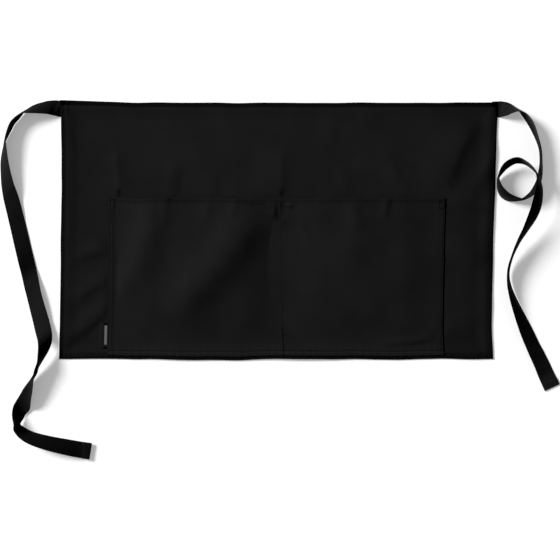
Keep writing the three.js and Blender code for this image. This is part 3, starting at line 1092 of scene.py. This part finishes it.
    def build_hem(
        self, name: str, node: str, box: tuple[float, float, float, float]
    ) -> bpy.types.Object:
        """Builds one hem strip, which lies flat under a margin.

        Its upper face drops by a bell curve of the distance from its rim.

        Args:
            name: The piece's name.
            node: The CAD node that it replaces.
            box: Its left, bottom, right and top on the flat rectangle.

        Returns:
            The strip.
        """
        left, bottom, right, top = box
        thickness = LAYOUT.hem_thickness - 0.25 * MM
        s, t = np.meshgrid(even(left, right, self.hem_step), even(bottom, top, self.hem_step))
        x, y = LAYOUT.place(s, t)
        drop = 0.2 * MM
        z = self.hem_above_floor + drop + thickness + bottom_lift(s, t)
        across = min(right - left, top - bottom)
        rim = np.minimum(np.minimum(s - left, right - s), np.minimum(t - bottom, top - t)) / across
        top_face = np.stack([x, y, z - drop * bell(rim / 0.08)], axis=-1)
        mesh = closed_sheet(top_face, thickness, np.stack([s, t], axis=-1), 0.3 * bell(rim / 0.1))
        return finish_piece(mesh.build(name), TWILL, node)

    def build_hems(self) -> list[bpy.types.Object]:
        """Builds the four hem strips inside the panel's rolled edge.

        Returns:
            The strips of the waist, the bottom, the left and the right side.
        """
        half_w, half_l = LAYOUT.width / 2, LAYOUT.length / 2
        out_w, out_l = half_w - self.hem_inset, half_l - self.hem_inset
        in_w, in_low = half_w - LAYOUT.hem_side, -half_l + LAYOUT.hem_bottom
        between = in_w - LAYOUT.gap
        low, high = in_low + LAYOUT.gap, half_l - (self.tie_room + LAYOUT.gap)
        strips = (
            ("hem_waist", "waist_hem", (-between, half_l - LAYOUT.hem_waist, between, out_l)),
            ("hem_bottom", "bottom_hem", (-out_w, -out_l, out_w, in_low)),
            ("hem_left", "left_hem", (-out_w, low, -in_w, high)),
            ("hem_right", "right_hem", (in_w, low, out_w, high)),
        )
        return [self.build_hem(name, node, box) for name, node, box in strips]

    def build_stitches(self) -> bpy.types.Object:
        """Builds the hems' rows of stitches as one piece.

        Returns:
            The piece.
        """
        half_w, half_l = LAYOUT.width / 2, LAYOUT.length / 2
        left, right = -half_w + self.side_stitch, half_w - self.side_stitch
        top, low = half_l - self.waist_stitch, -half_l + self.bottom_stitch
        runs = (
            ((left, low), (right, low)), ((left, top), (right, top)),
            ((left, low), (left, top)), ((right, low), (right, top)),
        )
        return finish_piece(sewn_rows(self.height, runs).build("hem_stitches"), THREAD)

    def build(self) -> None:
        with_pieces = [*self.build_hems(), self.build_stitches()]
        self.build_sheet()


@dataclass
class Pocket:
    """The patch pocket, its stitching and its bar tacks."""

    edge_radius: float = 0.75 * MM
    sheet: float = 0.7 * MM
    fine: float = 0.8 * MM
    coarse: float = 2.4 * MM
    middle_at: float = 0.512
    lean: float = 7.5 * MM
    margin: float = 14 * MM
    beside_middle: float = 7 * MM
    held: float = 12 * MM
    held_middle: float = 5 * MM
    swell: float = 64 * MM
    puff: float = 4.2 * MM
    first_row: float = 2.2 * MM
    second_row: float = 8.0 * MM
    mouth_row: float = 6.4 * MM
    row_ends: float = 1 * MM
    turned: float = 0.35 * MM
    allowance: float = 10 * MM
    mouth_hem: float = 8 * MM
    turned_over: float = 1.5 * MM
    deeper_below: float = 58 * MM
    deeper_over: float = 24 * MM
    tack_width: float = 1.8 * MM
    tack_pitch: float = 0.5 * MM
    folds_from_seam: float = 9 * MM
    folds_from_bottom: float = 12 * MM
    # These set a painted shade along the middle seam's groove, deeper near the bottom.
    groove_wide: float = 1.6 * MM
    groove_dark: float = 0.08
    groove_darker: float = 0.3
    # Painted shade in a band along the mouth's hem.
    band_dark: float = 0.15
    band_from: float = 0.8 * MM
    band_to: float = 6.4 * MM
    # Painted shade beside the side edges; at the bottom, painted shade in the second row's groove
    # and a painted highlight below it.
    edge_shades: tuple[Shade, ...] = (Shade(1.6, 1.2, 0.28), Shade(7, 4, 0.12))
    bottom_shades: tuple[Shade, ...] = (Shade(8.2, 1.1, 0.3), Shade(5, 1.8, -0.3))
    seam: Seam = Seam(deep=0.4 * MM, narrow=0.9 * MM, pucker=0.12 * MM)
    folds: tuple[Fold, ...] = (
        Fold(((-33, 50), (-57, -3), (-91, -55), (-140, -104), (-183, -162)), (38, 31), 9.6),
        Fold(((-199, 72), (-207, 4), (-228, -58), (-261, -130)), (24, 25), 4.6, fade=0.35),
        Fold(((-2, 37), (-11, -32), (-8, -123)), (11, 7), -1.5, crisp=True),
        Fold(((-42, 45), (-23, 41), (-2, 40)), (3, 3), 0.9, crisp=True, fade=0.4),
        Fold(((2, 53), (-2, 35), (-13, 17)), (10, 6), 2.4, crisp=True, fade=0.35),
        Fold(((18, 28), (11, 20), (5, 9)), (4, 5), 2.0, crisp=True, fade=0.4),
        Fold(((8, 40), (18, 41), (28, 38)), (4, 4), 1.4, crisp=True, fade=0.4),
        Fold(((-184, 66), (-181, -3)), (9, 7), 1.0, fade=0.45),
        Fold(((-111, 66), (-117, 4)), (9, 7), 0.8, fade=0.45),
        Fold(((-67, 66), (-75, 10)), (8, 7), 0.9, fade=0.45),
        Fold(((33, 27), (46, -9), (59, -45)), (7, 6), 0.8, fade=0.45),
        Fold(((117, 66), (124, 30), (137, -12)), (15, 12), 2.0, fade=0.4),
        Fold(((179, 66), (173, 10)), (8, 6), 1.7, fade=0.4),
        Fold(((153, -188), (218, -182), (280, -170)), (5, 9), 1.9, fade=0.4),
        Fold(((176, -198), (271, -190)), (4, 5), 1.0, fade=0.4),
        Fold(((85, 50), (117, -48), (160, -179)), (60, 52), 2.6, fade=0.4),
    )
    # Small painted shadows where the cloth tucks at the mouth and its middle tack.
    tuck_shades: tuple[TuckShade, ...] = (
        TuckShade((6, 41), 2.6, 9, 0.5), TuckShade((0, 24), 3, 7, 0.35), TuckShade((16, 38), 6, 2, 0.35),
        TuckShade((13, 13), 3.5, 5, 0.25), TuckShade((-34, 43), 16, 1.4, 0.4), TuckShade((-177, 52), 2, 4, 0.5),
    )

    @property
    def middle(self) -> float:
        """The middle seam's place along the waist."""
        return LAYOUT.pocket_left + self.middle_at * LAYOUT.pocket_flat[0]

    def seam_at(self, t: Array | float) -> Array | float:
        """The middle seam's place at t: it leans to the right towards the bottom."""
        return self.middle + self.lean * ((LAYOUT.pocket_mouth - t) / LAYOUT.pocket_flat[1])

    def deepened(self, bottom: Array) -> Array:
        """Rises from 0 to 1 where the middle seam cuts deeper, near the pocket's bottom."""
        return ease((self.deeper_below - bottom) / self.deeper_over)

    def height(self, s: Array, t: Array) -> Array:
        """Height of the pocket's upper face.

        The pocket lies on the panel and is held down along its sides, its bottom and its middle
        seam. Between them it rises by its puff, eased over swell, and by its folds. Its turned
        allowances and its mouth's hem are a step thicker, the hem below lifts its bottom, and the
        seams draw it down.

        Args:
            s: Places along the waist.
            t: Places towards the waist.

        Returns:
            The height at each place.
        """
        left, right = s - LAYOUT.pocket_left, LAYOUT.pocket_right - s
        bottom, mouth = t - LAYOUT.pocket_bottom, LAYOUT.pocket_mouth - t
        side = np.minimum(left, right)
        middle = np.abs(s - self.seam_at(t))
        span = np.minimum(side - self.held, middle - self.held_middle)
        rise = ease(span / self.swell) * ease((bottom - self.held) / self.swell)
        rough = Ripple(seed=23, wavelength=60 * MM, high=0.4 * MM)(s, t)
        near = ease(span / self.folds_from_seam)
        near = near * ease((bottom - self.held) / self.folds_from_bottom)
        folded = np.maximum(rise * (self.puff + rough) + near * folds_at(self.folds, s, t), 0.0)
        margin = LAYOUT.margin_lift * over_hem(t + LAYOUT.length / 2, LAYOUT.hem_bottom)
        edge = np.minimum(side, bottom)
        allowance = self.turned * ease((self.allowance - edge) / self.turned_over)
        hem = self.turned * ease((self.mouth_hem - mouth) / self.turned_over)
        along = np.where(side < bottom, t, s)
        seams = (
            self.seam(edge - self.first_row, along) + self.seam(edge - self.second_row, along + 0.1)
            + 0.7 * self.seam(mouth - self.mouth_row, s)
            + (0.5 + 1.5 * self.deepened(bottom)) * self.seam(s - self.seam_at(t), t)
        )
        top = LAYOUT.cloth + LAYOUT.gap + LAYOUT.cloth
        return margin + bottom_lift(s, t) + top + folded + np.maximum(allowance, hem) + seams

    def shade_and_band(self, s: Array, t: Array) -> Array:
        """The painted shade on the pocket: along the mouth's hem, in the middle seam's groove,
        beside the side edges and in the bottom row, with a painted highlight near the bottom edge.

        Args:
            s: Places along the waist.
            t: Places towards the waist.

        Returns:
            The painted darkness at each place, as bell curves of the distances from the seams and
            edges, an eased band at the mouth, and the tucks' painted shadows; below 0 it is a
            painted highlight.
        """
        side = np.minimum(s - LAYOUT.pocket_left, LAYOUT.pocket_right - s)
        bottom, mouth = t - LAYOUT.pocket_bottom, LAYOUT.pocket_mouth - t
        band = ease((mouth - self.band_from) / MM) * ease((self.band_to - mouth) / MM)
        dark = self.groove_dark + self.groove_darker * self.deepened(bottom)
        groove = dark * bell((s - self.seam_at(t)) / self.groove_wide)
        rows = sum(shade(bottom) for shade in self.bottom_shades)
        edge = sum(shade(side) for shade in self.edge_shades)
        tuck_shaded = sum(tuck_shade(s, t) for tuck_shade in self.tuck_shades)
        return groove + self.band_dark * band + rows + edge + tuck_shaded

    def build_sheet(self) -> bpy.types.Object:
        """Builds the pocket with its rolled edges.

        Returns:
            The pocket.
        """
        left, right = LAYOUT.pocket_left, LAYOUT.pocket_right
        bottom, mouth = LAYOUT.pocket_bottom, LAYOUT.pocket_mouth
        r, band = self.edge_radius, self.margin
        low, high = self.middle - self.beside_middle, self.middle + self.beside_middle + self.lean
        columns = np.concatenate([
            even(left + r, left + band, self.fine)[:-1],
            even(left + band, low, self.coarse)[:-1],
            even(low, high, self.fine)[:-1],
            even(high, right - band, self.coarse)[:-1],
            even(right - band, right - r, self.fine),
        ])
        rows = np.concatenate([
            even(bottom + r, bottom + band, self.fine)[:-1],
            even(bottom + band, mouth - band, self.coarse)[:-1],
            even(mouth - band, mouth - r, self.fine),
        ])
        across, down = Roll.across(left, right, columns, r), Roll.across(bottom, mouth, rows, r)
        mesh = rolled_sheet(across, down, r, self.sheet, self.height, self.shade_and_band)
        return finish_piece(mesh.build("apron_pocket"), TWILL, "pocket")

    def build_stitches(self) -> bpy.types.Object:
        """Builds the pocket's rows of stitches as one piece.

        Returns:
            The piece.
        """
        left, right = LAYOUT.pocket_left, LAYOUT.pocket_right
        bottom, mouth = LAYOUT.pocket_bottom, LAYOUT.pocket_mouth
        low, high, line = bottom + self.row_ends, mouth - self.row_ends, mouth - self.mouth_row
        runs = [
            ((left + a, high), (left + a, bottom + a), (right - a, bottom + a), (right - a, high))
            for a in (self.first_row, self.second_row)
        ]
        runs.append(((left + 2 * self.row_ends, line), (right - 2 * self.row_ends, line)))
        runs.append(((self.seam_at(bottom), low), (self.seam_at(mouth), high)))
        return finish_piece(sewn_rows(self.height, runs).build("pocket_stitches"), THREAD)

    def build_tack(
        self, name: str, node: str, bars: Iterable[tuple[float, float, float, float]]
    ) -> bpy.types.Object:
        """Builds a bar tack: close-set crosswise stitches, slightly askew, over each of its bars.

        Args:
            name: The piece's name.
            node: The CAD node that it replaces.
            bars: The first and the last point of each bar on the flat rectangle.

        Returns:
            The tack.
        """
        width, pitch, runs = self.tack_width, self.tack_pitch, []
        for s0, t0, s1, t1 in bars:
            length = math.hypot(s1 - s0, t1 - t0)
            count = int(length / pitch)
            share = (np.arange(count) + 0.5) / count
            cross = np.array([-(t1 - t0), s1 - s0]) / length * width / 2
            skew = np.array([s1 - s0, t1 - t0]) / length * pitch / 2
            middle = np.stack([s0 + (s1 - s0) * share, t0 + (t1 - t0) * share], axis=1)
            first, last = middle - cross - skew, middle + cross + skew
            runs += [(tuple(a), tuple(b)) for a, b in zip(first, last)]
        row = StitchRow(width * 1.2, share=0.95, radius=0.27 * MM, arch=0.35 * MM, sink=-0.1 * MM)
        return finish_piece(sewn_rows(self.height, runs, row).build(name), THREAD, node)

    def build_tacks(self) -> list[bpy.types.Object]:
        """Builds the three bar tacks at the pocket's mouth.

        Returns:
            The left, the middle and the right one.
        """
        left, right, top = LAYOUT.pocket_left, LAYOUT.pocket_right, LAYOUT.pocket_mouth - 1.6 * MM
        under, post = top - 1.2 * MM, left + 7.2 * MM
        inner, outer, foot, low = right - 11 * MM, right - 2.8 * MM, top - 13 * MM, top - 14 * MM
        tacks = {
            "left": (
                (left + 1.9 * MM, top, left + 9.9 * MM, top), (post, under, post, top - 12 * MM),
            ),
            "middle": ((self.middle, top + 0.6 * MM, self.middle, top - 9 * MM),),
            "right": (
                (inner, top, outer, top), (inner, low, outer, low),
                (inner, under, inner, foot), (outer, under, outer, foot),
            ),
        }
        return [self.build_tack(f"bar_tack_{at}", f"tack_{at}", bars) for at, bars in tacks.items()]

    def build(self) -> None:
        with_pieces = [self.build_stitches(), *self.build_tacks()]
        self.build_sheet()


@dataclass
class Label:
    """The loop label, a folded woven strip beside the pocket that bows a little off the panel."""

    width: float = 14 * MM
    length: float = 42 * MM
    thick: float = 1.0 * MM
    above_bottom: float = 16 * MM
    tucked: float = 1.1 * MM
    bow: float = 0.5 * MM
    step: Place = (0.6 * MM, 0.7 * MM)
    rim_drop: float = 0.35 * MM
    rim_wide: float = 0.7 * MM
    # A faint painted highlight along the label's rim, and painted shadows at its tips.
    rim_shade: Shade = Shade(0, 0.8, -0.2)
    tip_shade: Shade = Shade(1.5, 1.8, 0.8)
    tip_from: float = 5.5 * MM
    tip_over: float = 2 * MM

    def build(self) -> None:
        """Builds the label in its woven cloth.

        It bows by a squared sine along it, eased to 0 at the seam, and drops by a bell curve of the
        distance from its rim. Its tips carry painted shadows beside the stripe, and its rim a faint
        painted highlight.
        """
        width, length = self.width, self.length
        right, low = LAYOUT.pocket_left - LAYOUT.gap, -LAYOUT.length / 2 + self.above_bottom
        columns = even(right - width, right, self.step[0])
        s, t = np.meshgrid(columns, even(low, low + length, self.step[1]))
        x, y = LAYOUT.place(s + self.tucked, t)
        u, v = s - (right - width), t - low
        bow = self.bow * np.sin(math.pi * v / length) ** 2 * ease((width - u) / width)
        rim = np.minimum(np.minimum(u, v), length - v)
        drop = self.rim_drop * bell(rim / self.rim_wide)
        z = LAYOUT.cloth + LAYOUT.gap + self.thick + bow - drop
        tip = self.tip_shade(np.minimum(v, length - v)) * ease((u - self.tip_from) / self.tip_over)
        wear_and_shading = -self.rim_shade(rim) - tip
        top, uv = np.stack([x, y, z], axis=-1), np.stack([u, v], axis=-1)
        mesh = closed_sheet(top, self.thick, uv, wear_and_shading)
        item = finish_piece(mesh.build("loop_label"), WOVEN_LABEL, "label")


@dataclass(frozen=True)
class Crease:
    """A dent across a tape, in millimetres, and a band of painted light: paler where worn is above
    0, as painted highlight, and darker where it is below 0, as painted shade.

    It is a bell curve along the tape over wide, at a place that slants across it by lean.
    """

    at: float
    wide: float
    high: float = 0.0
    lean: float = 0.0
    worn_and_lit: float = 0.0

    def __call__(self, along: Array, across: Array) -> Array:
        """Returns the crease's share, from 0 to 1, at places along and across the tape."""
        return bell((along - self.at * MM - self.lean * across) / (self.wide * MM))


@dataclass
class Tie:
    """One tape tie, from under the panel's top corner along its route to its turned end.

    route holds a row for each station: out from the corner in shares of reach, down from it in
    shares of the panel's length, lift of the lower edge in shares of the width, and roll in
    degrees, where 0 lies flat and 90 stands on edge with the left edge up. trough holds the place,
    the length and the depth of a stretch that is bent into a gutter.
    """

    name: str
    node: str
    side: int
    route: tuple[tuple[float, float, float, float], ...]
    corner: Place
    creases: tuple[Crease, ...]
    trough: tuple[float, float, float] = (0.0, 1.0, 0.0)
    width: float = 25 * MM
    thickness: float = 1.6 * MM
    woven_width: float = 26.4 * MM
    woven_thickness: float = 1.1 * MM
    cup: float = 2.5 * MM
    reach: float = 100 * MM
    step: float = 2.0 * MM
    samples: int = 4000
    end_fold: float = 13 * MM
    above_floor: float = 0.2 * MM
    fold_gap: float = 0.15 * MM
    end_wider: float = 0.6 * MM
    row_share: float = 0.82
    row_half: float = 0.46

    def gutter(self, along: Array) -> Array:
        """The trough's depth at places along the tape, a bell curve."""
        at, spread, deep = self.trough
        return deep * bell((along - at) / spread)

    def frame(self) -> tuple[Array, Array, Array, Array]:
        """Works out the tape's middle line and its two cross directions along it.

        The left edge's direction turns from level to upright with the roll, and the middle line
        stands as high as half the tilted section, so that the lower edge keeps its lift.

        Returns:
            The middle points, the unit vectors to the left edge, the unit vectors off the face,
            and the distance along the tape at each point.
        """
        x0, y0 = self.corner
        rows = np.array(self.route)
        table = np.column_stack([
            x0 + self.side * rows[:, 0] * self.reach, y0 - rows[:, 1] * LAYOUT.length,
            rows[:, 2] * self.width, np.radians(rows[:, 3]),
        ])
        rough = smooth_rows(table, np.linspace(0, len(rows) - 1, self.samples))
        steps = np.linalg.norm(np.diff(rough[:, :3], axis=0), axis=1)
        length = np.concatenate([[0.0], np.cumsum(steps)])
        even_length = even(0.0, length[-1], self.step)
        path = np.stack([np.interp(even_length, length, rough[:, k]) for k in range(4)], axis=1)
        heading = unit(np.gradient(path[:, :2], axis=0))
        roll = path[:, 3]
        left = np.column_stack([
            -heading[:, 1] * np.cos(roll), heading[:, 0] * np.cos(roll), np.sin(roll),
        ])
        face = unit(np.cross(np.column_stack([heading, np.zeros(len(roll))]), left))
        standing = (self.woven_width * np.abs(left[:, 2]) + self.thickness * np.abs(face[:, 2])) / 2
        lift = np.maximum(path[:, 2], 0) + self.gutter(even_length)
        middle = np.column_stack([path[:, :2], lift + standing + self.above_floor])
        return middle, left, face, even_length

    def bend(self, along: Array, across: Array, upright: Array, width: float) -> Array:
        """How far the tape's section leaves its plane, along its face.

        It is a parabola across the tape, as high as the cup where the tape stands and as the
        gutter, plus a slight waviness and the creases.

        Args:
            along: Places along the tape, one row for each section.
            across: Places across it.
            upright: How upright the tape stands at each row, from 0 to 1.
            width: Width of the tape.

        Returns:
            The bend at each place.
        """
        cup = self.cup * upright**2 + self.gutter(along)
        wavy = Ripple(seed=31 + self.side, wavelength=38 * MM, high=0.18 * MM)(along, across)
        dents = sum(crease.high * MM * crease(along, across) for crease in self.creases)
        return cup * (1 - (2 * across / width) ** 2) + wavy + dents

    def tube(
        self, middle: Array, left: Array, face: Array, along: Array, width: float, offset: float,
        dents: bool,
    ) -> Mesh:
        """Carries the tape's section along its middle line.

        The section is a flat rounded rectangle: across runs from edge to edge, and the half
        thickness falls off as a root of 1 - across^8 towards both edges.

        Args:
            middle: Points of the middle line.
            left: Unit vectors to the left edge.
            face: Unit vectors off the face.
            along: Distance along the tape.
            width: Width of the tape.
            offset: Distance of the section's middle off the middle line along face.
            dents: Whether the creases and the slight waviness are added.

        Returns:
            The closed mesh.
        """
        inner = np.linspace(-0.88, 0.88, 11)
        across = np.concatenate([[-1, -0.985, -0.95], inner, [0.95, 0.985, 1]])
        half = self.woven_thickness / 2 * (0.25 + 0.75 * np.sqrt(np.clip(1 - across**8, 0, 1)))
        a = width / 2 * across
        grid_a, grid_u = np.meshgrid(a, along)
        bend = self.bend(grid_u, grid_a, np.abs(left[:, 2:]), width) if dents else 0 * grid_a
        spots = middle[:, None, :] + left[:, None, :] * grid_a[..., None]
        upper = spots + face[:, None, :] * (offset + bend + half[None, :])[..., None]
        lower = spots + face[:, None, :] * (offset + bend - half[None, :])[..., None]
        loop = np.concatenate([upper[:, ::-1], lower], axis=1)
        number = np.arange(loop.shape[0] * loop.shape[1]).reshape(loop.shape[:2])
        top, under = number[:, :len(a)], number[:, len(a):][:, ::-1]
        start = np.stack([top[0, :-1], top[0, 1:], under[0, 1:], under[0, :-1]], axis=-1)
        end = np.stack([top[-1, 1:], top[-1, :-1], under[-1, :-1], under[-1, 1:]], axis=-1)
        v = np.concatenate([a[::-1], a])
        uv = np.stack(np.broadcast_arrays(v[None, :], along[:, None]), axis=-1).reshape(-1, 2)
        # Paler along both edges of the tape, plus the creases' painted highlight and painted shade.
        wear_and_shading = 0.4 * bell((np.abs(v) - width / 2) / (1.2 * MM))[None, :] + 0 * along[:, None]
        for crease in self.creases:
            wear_and_shading = wear_and_shading + crease.worn_and_lit * crease(along[:, None], v[None, :])
        quads = np.vstack([ring_walls(number), start, end])[:, ::-1]
        return Mesh(loop.reshape(-1, 3), quads, uv, wear_and_shading.ravel())

    def build(self) -> None:
        """Builds the tape, its turned end and the stitches that hold it."""
        middle, left, face, along = self.frame()
        mesh = self.tube(middle, left, face, along, self.woven_width, 0.0, dents=True)
        item = finish_piece(mesh.build(self.name), TAPE, self.node)
        length = float(along[-1])
        LOG.info("%s is %.0f mm long", self.name, length * 1000)
        up = math.copysign(1.0, face[-1, 2])
        keep = along >= length - self.end_fold
        offset = up * (self.woven_thickness + self.fold_gap)
        last = (middle[keep], left[keep], face[keep], along[keep])
        end = self.tube(*last, self.woven_width + self.end_wider, offset, dents=False)
        turned = finish_piece(end.build(f"{self.name}_end"), TAPE, f"{self.node}_end")
        row_at = length - self.row_share * self.end_fold
        spot = np.array([np.interp(row_at, along, middle[:, k]) for k in range(3)])
        edge, off = left[-1], face[-1] * up
        share = np.linspace(-self.row_half, self.row_half, 40)[:, None]
        top = self.woven_thickness * 1.5 + self.fold_gap
        line = spot[None, :] + edge[None, :] * share * self.width + off[None, :] * top
        row = StitchRow(pitch=2.4 * MM, sink=0.05 * MM).mesh(line, np.broadcast_to(off, line.shape))
        sewn = finish_piece(row.build(f"{self.name}_stitches"), THREAD)


LEFT_ROUTE = (
    (-0.065, 0, 0, 0), (0.015, -0.001, 0, 0), (0.11, -0.004, 0, 12), (0.22, -0.005, 0.01, 29),
    (0.38, -0.001, 0.03, 44), (0.5, 0.006, 0.04, 59), (0.61, 0.018, 0.04, 80),
    (0.706, 0.036, 0.03, 93), (0.794, 0.058, 0.02, 95), (0.851, 0.088, 0.02, 93),
    (0.896, 0.122, 0.01, 83), (0.923, 0.161, 0, 65), (0.929, 0.205, 0, 52), (0.911, 0.254, 0, 42),
    (0.876, 0.304, 0, 28), (0.82, 0.36, 0, 10), (0.755, 0.425, 0, 3), (0.6, 0.58, 0.02, -6),
    (0.535, 0.645, 0.02, 3), (0.455, 0.726, 0.06, 14), (0.326, 0.84, 0.22, -3),
    (0.268, 0.89, 0.34, -31), (0.272, 0.927, 0.42, -52), (0.324, 0.966, 0.4, -71),
    (0.404, 1.005, 0.32, -84),
    (0.481, 1.047, 0.2, -110), (0.539, 1.09, 0.08, -131), (0.612, 1.138, 0.04, -158),
    (0.684, 1.176, 0.03, -213), (0.705, 1.203, 0.05, -236), (0.715, 1.225, 0.1, -255),
    (0.704, 1.2385, 0.15, -245), (0.652, 1.2525, 0.2, -237), (0.588, 1.2645, 0.24, -232),
    (0.5, 1.276, 0.27, -226), (0.38, 1.2868, 0.28, -220),
    (0.163, 1.301, 0.3, -211), (-0.09, 1.315, 0.27, -198), (-0.285, 1.325, 0.22, -185),
    (-0.465, 1.332, 0.18, -181),
)
RIGHT_ROUTE = (
    (-0.073, 0, 0, 0), (0.008, -0.001, 0, 0), (0.07, -0.002, 0.01, -7), (0.138, -0.002, 0.03, -25),
    (0.222, -0.001, 0.04, -48), (0.322, 0.006, 0.06, -76), (0.418, 0.022, 0.08, -94),
    (0.494, 0.044, 0.1, -100), (0.562, 0.074, 0.1, -99), (0.63, 0.115, 0.08, -92),
    (0.676, 0.158, 0.06, -86), (0.69, 0.198, 0.05, -87), (0.688, 0.237, 0.04, -94),
    (0.666, 0.275, 0.03, -99), (0.61, 0.308, 0.02, -104), (0.518, 0.333, 0.02, -101),
    (0.38, 0.349, 0.02, -89), (0.226, 0.347, 0.03, -71), (0.113, 0.333, 0.04, -66),
    (0.035, 0.306, 0.06, -77), (0.015, 0.272, 0.11, -94), (0.058, 0.241, 0.2, -110),
    (0.145, 0.217, 0.36, -115), (0.279, 0.203, 0.56, -109), (0.415, 0.213, 0.76, -96),
    (0.513, 0.234, 0.92, -87), (0.585, 0.261, 1.06, -77), (0.623, 0.295, 1.13, -62),
    (0.622, 0.333, 1.15, -50), (0.594, 0.371, 1.12, -45), (0.55, 0.404, 1.06, -46),
    (0.48, 0.44, 0.96, -54), (0.403, 0.475, 0.84, -63), (0.323, 0.51, 0.68, -71),
    (0.241, 0.551, 0.5, -77), (0.187, 0.588, 0.35, -79), (0.158, 0.624, 0.24, -78),
    (0.158, 0.658, 0.16, -74), (0.192, 0.697, 0.1, -66), (0.262, 0.745, 0.05, -56),
    (0.355, 0.799, 0.03, -43), (0.462, 0.858, 0.01, -31), (0.588, 0.924, 0, -22),
    (0.724, 0.99, 0.01, -12), (0.818, 1.039, 0, 0), (0.903, 1.083, 0, 0),
)
# In these tables the worn values are bands of painted highlight, above 0, and painted shade, below
# 0, along the tapes.
LEFT_CREASES = (
    Crease(13, 2.4, 0.7, lean=0.2),
    Crease(19, 3, -0.7, lean=0.35),
    Crease(26, 4, 0.6, lean=-0.4),
    Crease(150, 46, worn_and_lit=1.1),
    Crease(207, 6, 0.5, lean=-0.8),
    Crease(252, 5, -0.5, lean=0.7),
    Crease(335, 26, lean=-0.6, worn_and_lit=-0.22),
    Crease(356, 8, 0.4, lean=-0.6, worn_and_lit=0.35),
    Crease(420, 42, lean=-0.7, worn_and_lit=1.2),
    Crease(511, 12, 2.6, lean=1.1),
    Crease(602, 16, worn_and_lit=1.2),
    Crease(672, 44, worn_and_lit=-0.28),
    Crease(722, 6, 0.4, lean=0.1, worn_and_lit=0.4),
)
RIGHT_CREASES = (
    Crease(13.5, 2.6, -0.8, lean=0.35),
    Crease(19, 3, 0.5, lean=0.3),
    Crease(30, 20, worn_and_lit=1.8),
    Crease(655, 6, 0.4, lean=0.6, worn_and_lit=0.3),
    Crease(700, 7, -0.4, lean=-0.5),
    Crease(725, 44, worn_and_lit=0.8),
)


@dataclass
class Studio:
    """The pale floor, the soft light from the upper left and the camera straight above."""

    photo_pixel: float = 1.63 * MM
    photo_pixels: int = 560
    photo_middle: tuple[float, float] = (278.0, 230.4)
    lens: float = 100.0
    sensor: float = 36.0
    floor_size: float = 9.0
    key_azimuth: float = 153.0
    key_elevation: float = 38.0
    key_distance: float = 10.0
    key_size: float = 3.8
    key_power: float = 1320.0
    sky: float = 0.27
    glow: float = 0.245
    black_level: float = 0.0045

    def build_floor(self) -> None:
        """Lays the floor, which gives back most of its light and glows slightly, as paper does."""
        half = self.floor_size / 2
        s, t = np.meshgrid(np.linspace(-half, half, 3), np.linspace(-half, half, 3))
        points = np.stack([s, t, 0 * s], axis=-1).reshape(-1, 3)
        floor = Mesh(points, grid_quads(3, 3), points[:, :2], np.zeros(9)).build("floor")
        graph = Graph("pale_floor")
        surface = graph.node("ShaderNodeBsdfPrincipled", {}, {
            "Base Color": (0.8, 0.8, 0.8, 1.0), "Roughness": 0.95, "Specular IOR Level": 0.0,
            "Emission Color": (1.0, 1.0, 1.0, 1.0), "Emission Strength": self.glow,
        })
        graph.node("ShaderNodeOutputMaterial", {}, {0: surface.outputs[0]})
        floor.data.materials.append(graph.material)

    def build_light(self) -> None:
        """Sets the key light, the even sky and plain colour management."""
        azimuth, elevation = math.radians(self.key_azimuth), math.radians(self.key_elevation)
        toward = Vector((
            math.cos(azimuth) * math.cos(elevation), math.sin(azimuth) * math.cos(elevation),
            math.sin(elevation),
        ))
        lamp = bpy.data.lights.new("key_light", "AREA")
        lamp.shape = "DISK"
        lamp.size = self.key_size
        lamp.energy = self.key_power
        holder = bpy.data.objects.new("key_light", lamp)
        holder.location = toward * self.key_distance
        holder.rotation_euler = toward.to_track_quat("Z", "Y").to_euler()
        bpy.context.scene.collection.objects.link(holder)
        world = bpy.data.worlds.new("even_sky")
        world.use_nodes = True
        sky = world.node_tree.nodes["Background"]
        sky.inputs["Color"].default_value = (1.0, 1.0, 1.0, 1.0)
        sky.inputs["Strength"].default_value = self.sky
        bpy.context.scene.world = world
        view = bpy.context.scene.view_settings
        view.view_transform, view.look, view.use_curve_mapping = "Standard", "None", True
        view.curve_mapping.black_level = (self.black_level,) * 3
        view.curve_mapping.update()

    def build_camera(self) -> None:
        """Hangs the camera straight above the photograph's middle, so that its frame fits."""
        camera = bpy.data.cameras.new("camera")
        camera.lens = self.lens
        camera.sensor_width = self.sensor
        camera.clip_end = 20.0
        holder = bpy.data.objects.new("camera", camera)
        centre = self.photo_pixels / 2
        span = self.photo_pixels * self.photo_pixel
        holder.location = (
            (centre - self.photo_middle[0]) * self.photo_pixel,
            (self.photo_middle[1] - centre) * self.photo_pixel,
            span * self.lens / self.sensor,
        )
        bpy.context.scene.collection.objects.link(holder)
        bpy.context.scene.camera = holder

    def build(self) -> None:
        """Builds the floor, the light and the camera."""
        self.build_camera()
        self.build_floor()
        self.build_light()


def main() -> None:
    """Loads the frame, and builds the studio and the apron."""
    logging.basicConfig(level=logging.INFO, format="%(name)s %(message)s")
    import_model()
    Studio().build()
    Panel().build()
    Pocket().build()
    Label().build()
    Tie(
        name="tie_left", node="left_tie", side=-1, route=LEFT_ROUTE,
        corner=(-351.0 * MM, 197.4 * MM), creases=LEFT_CREASES,
        trough=(560 * MM, 30 * MM, 3.4 * MM),
    ).build()
    Tie(
        name="tie_right", node="right_tie", side=1, route=RIGHT_ROUTE,
        corner=(356.5 * MM, 196.5 * MM), creases=RIGHT_CREASES,
    ).build()


if __name__ == "__main__":
    main()
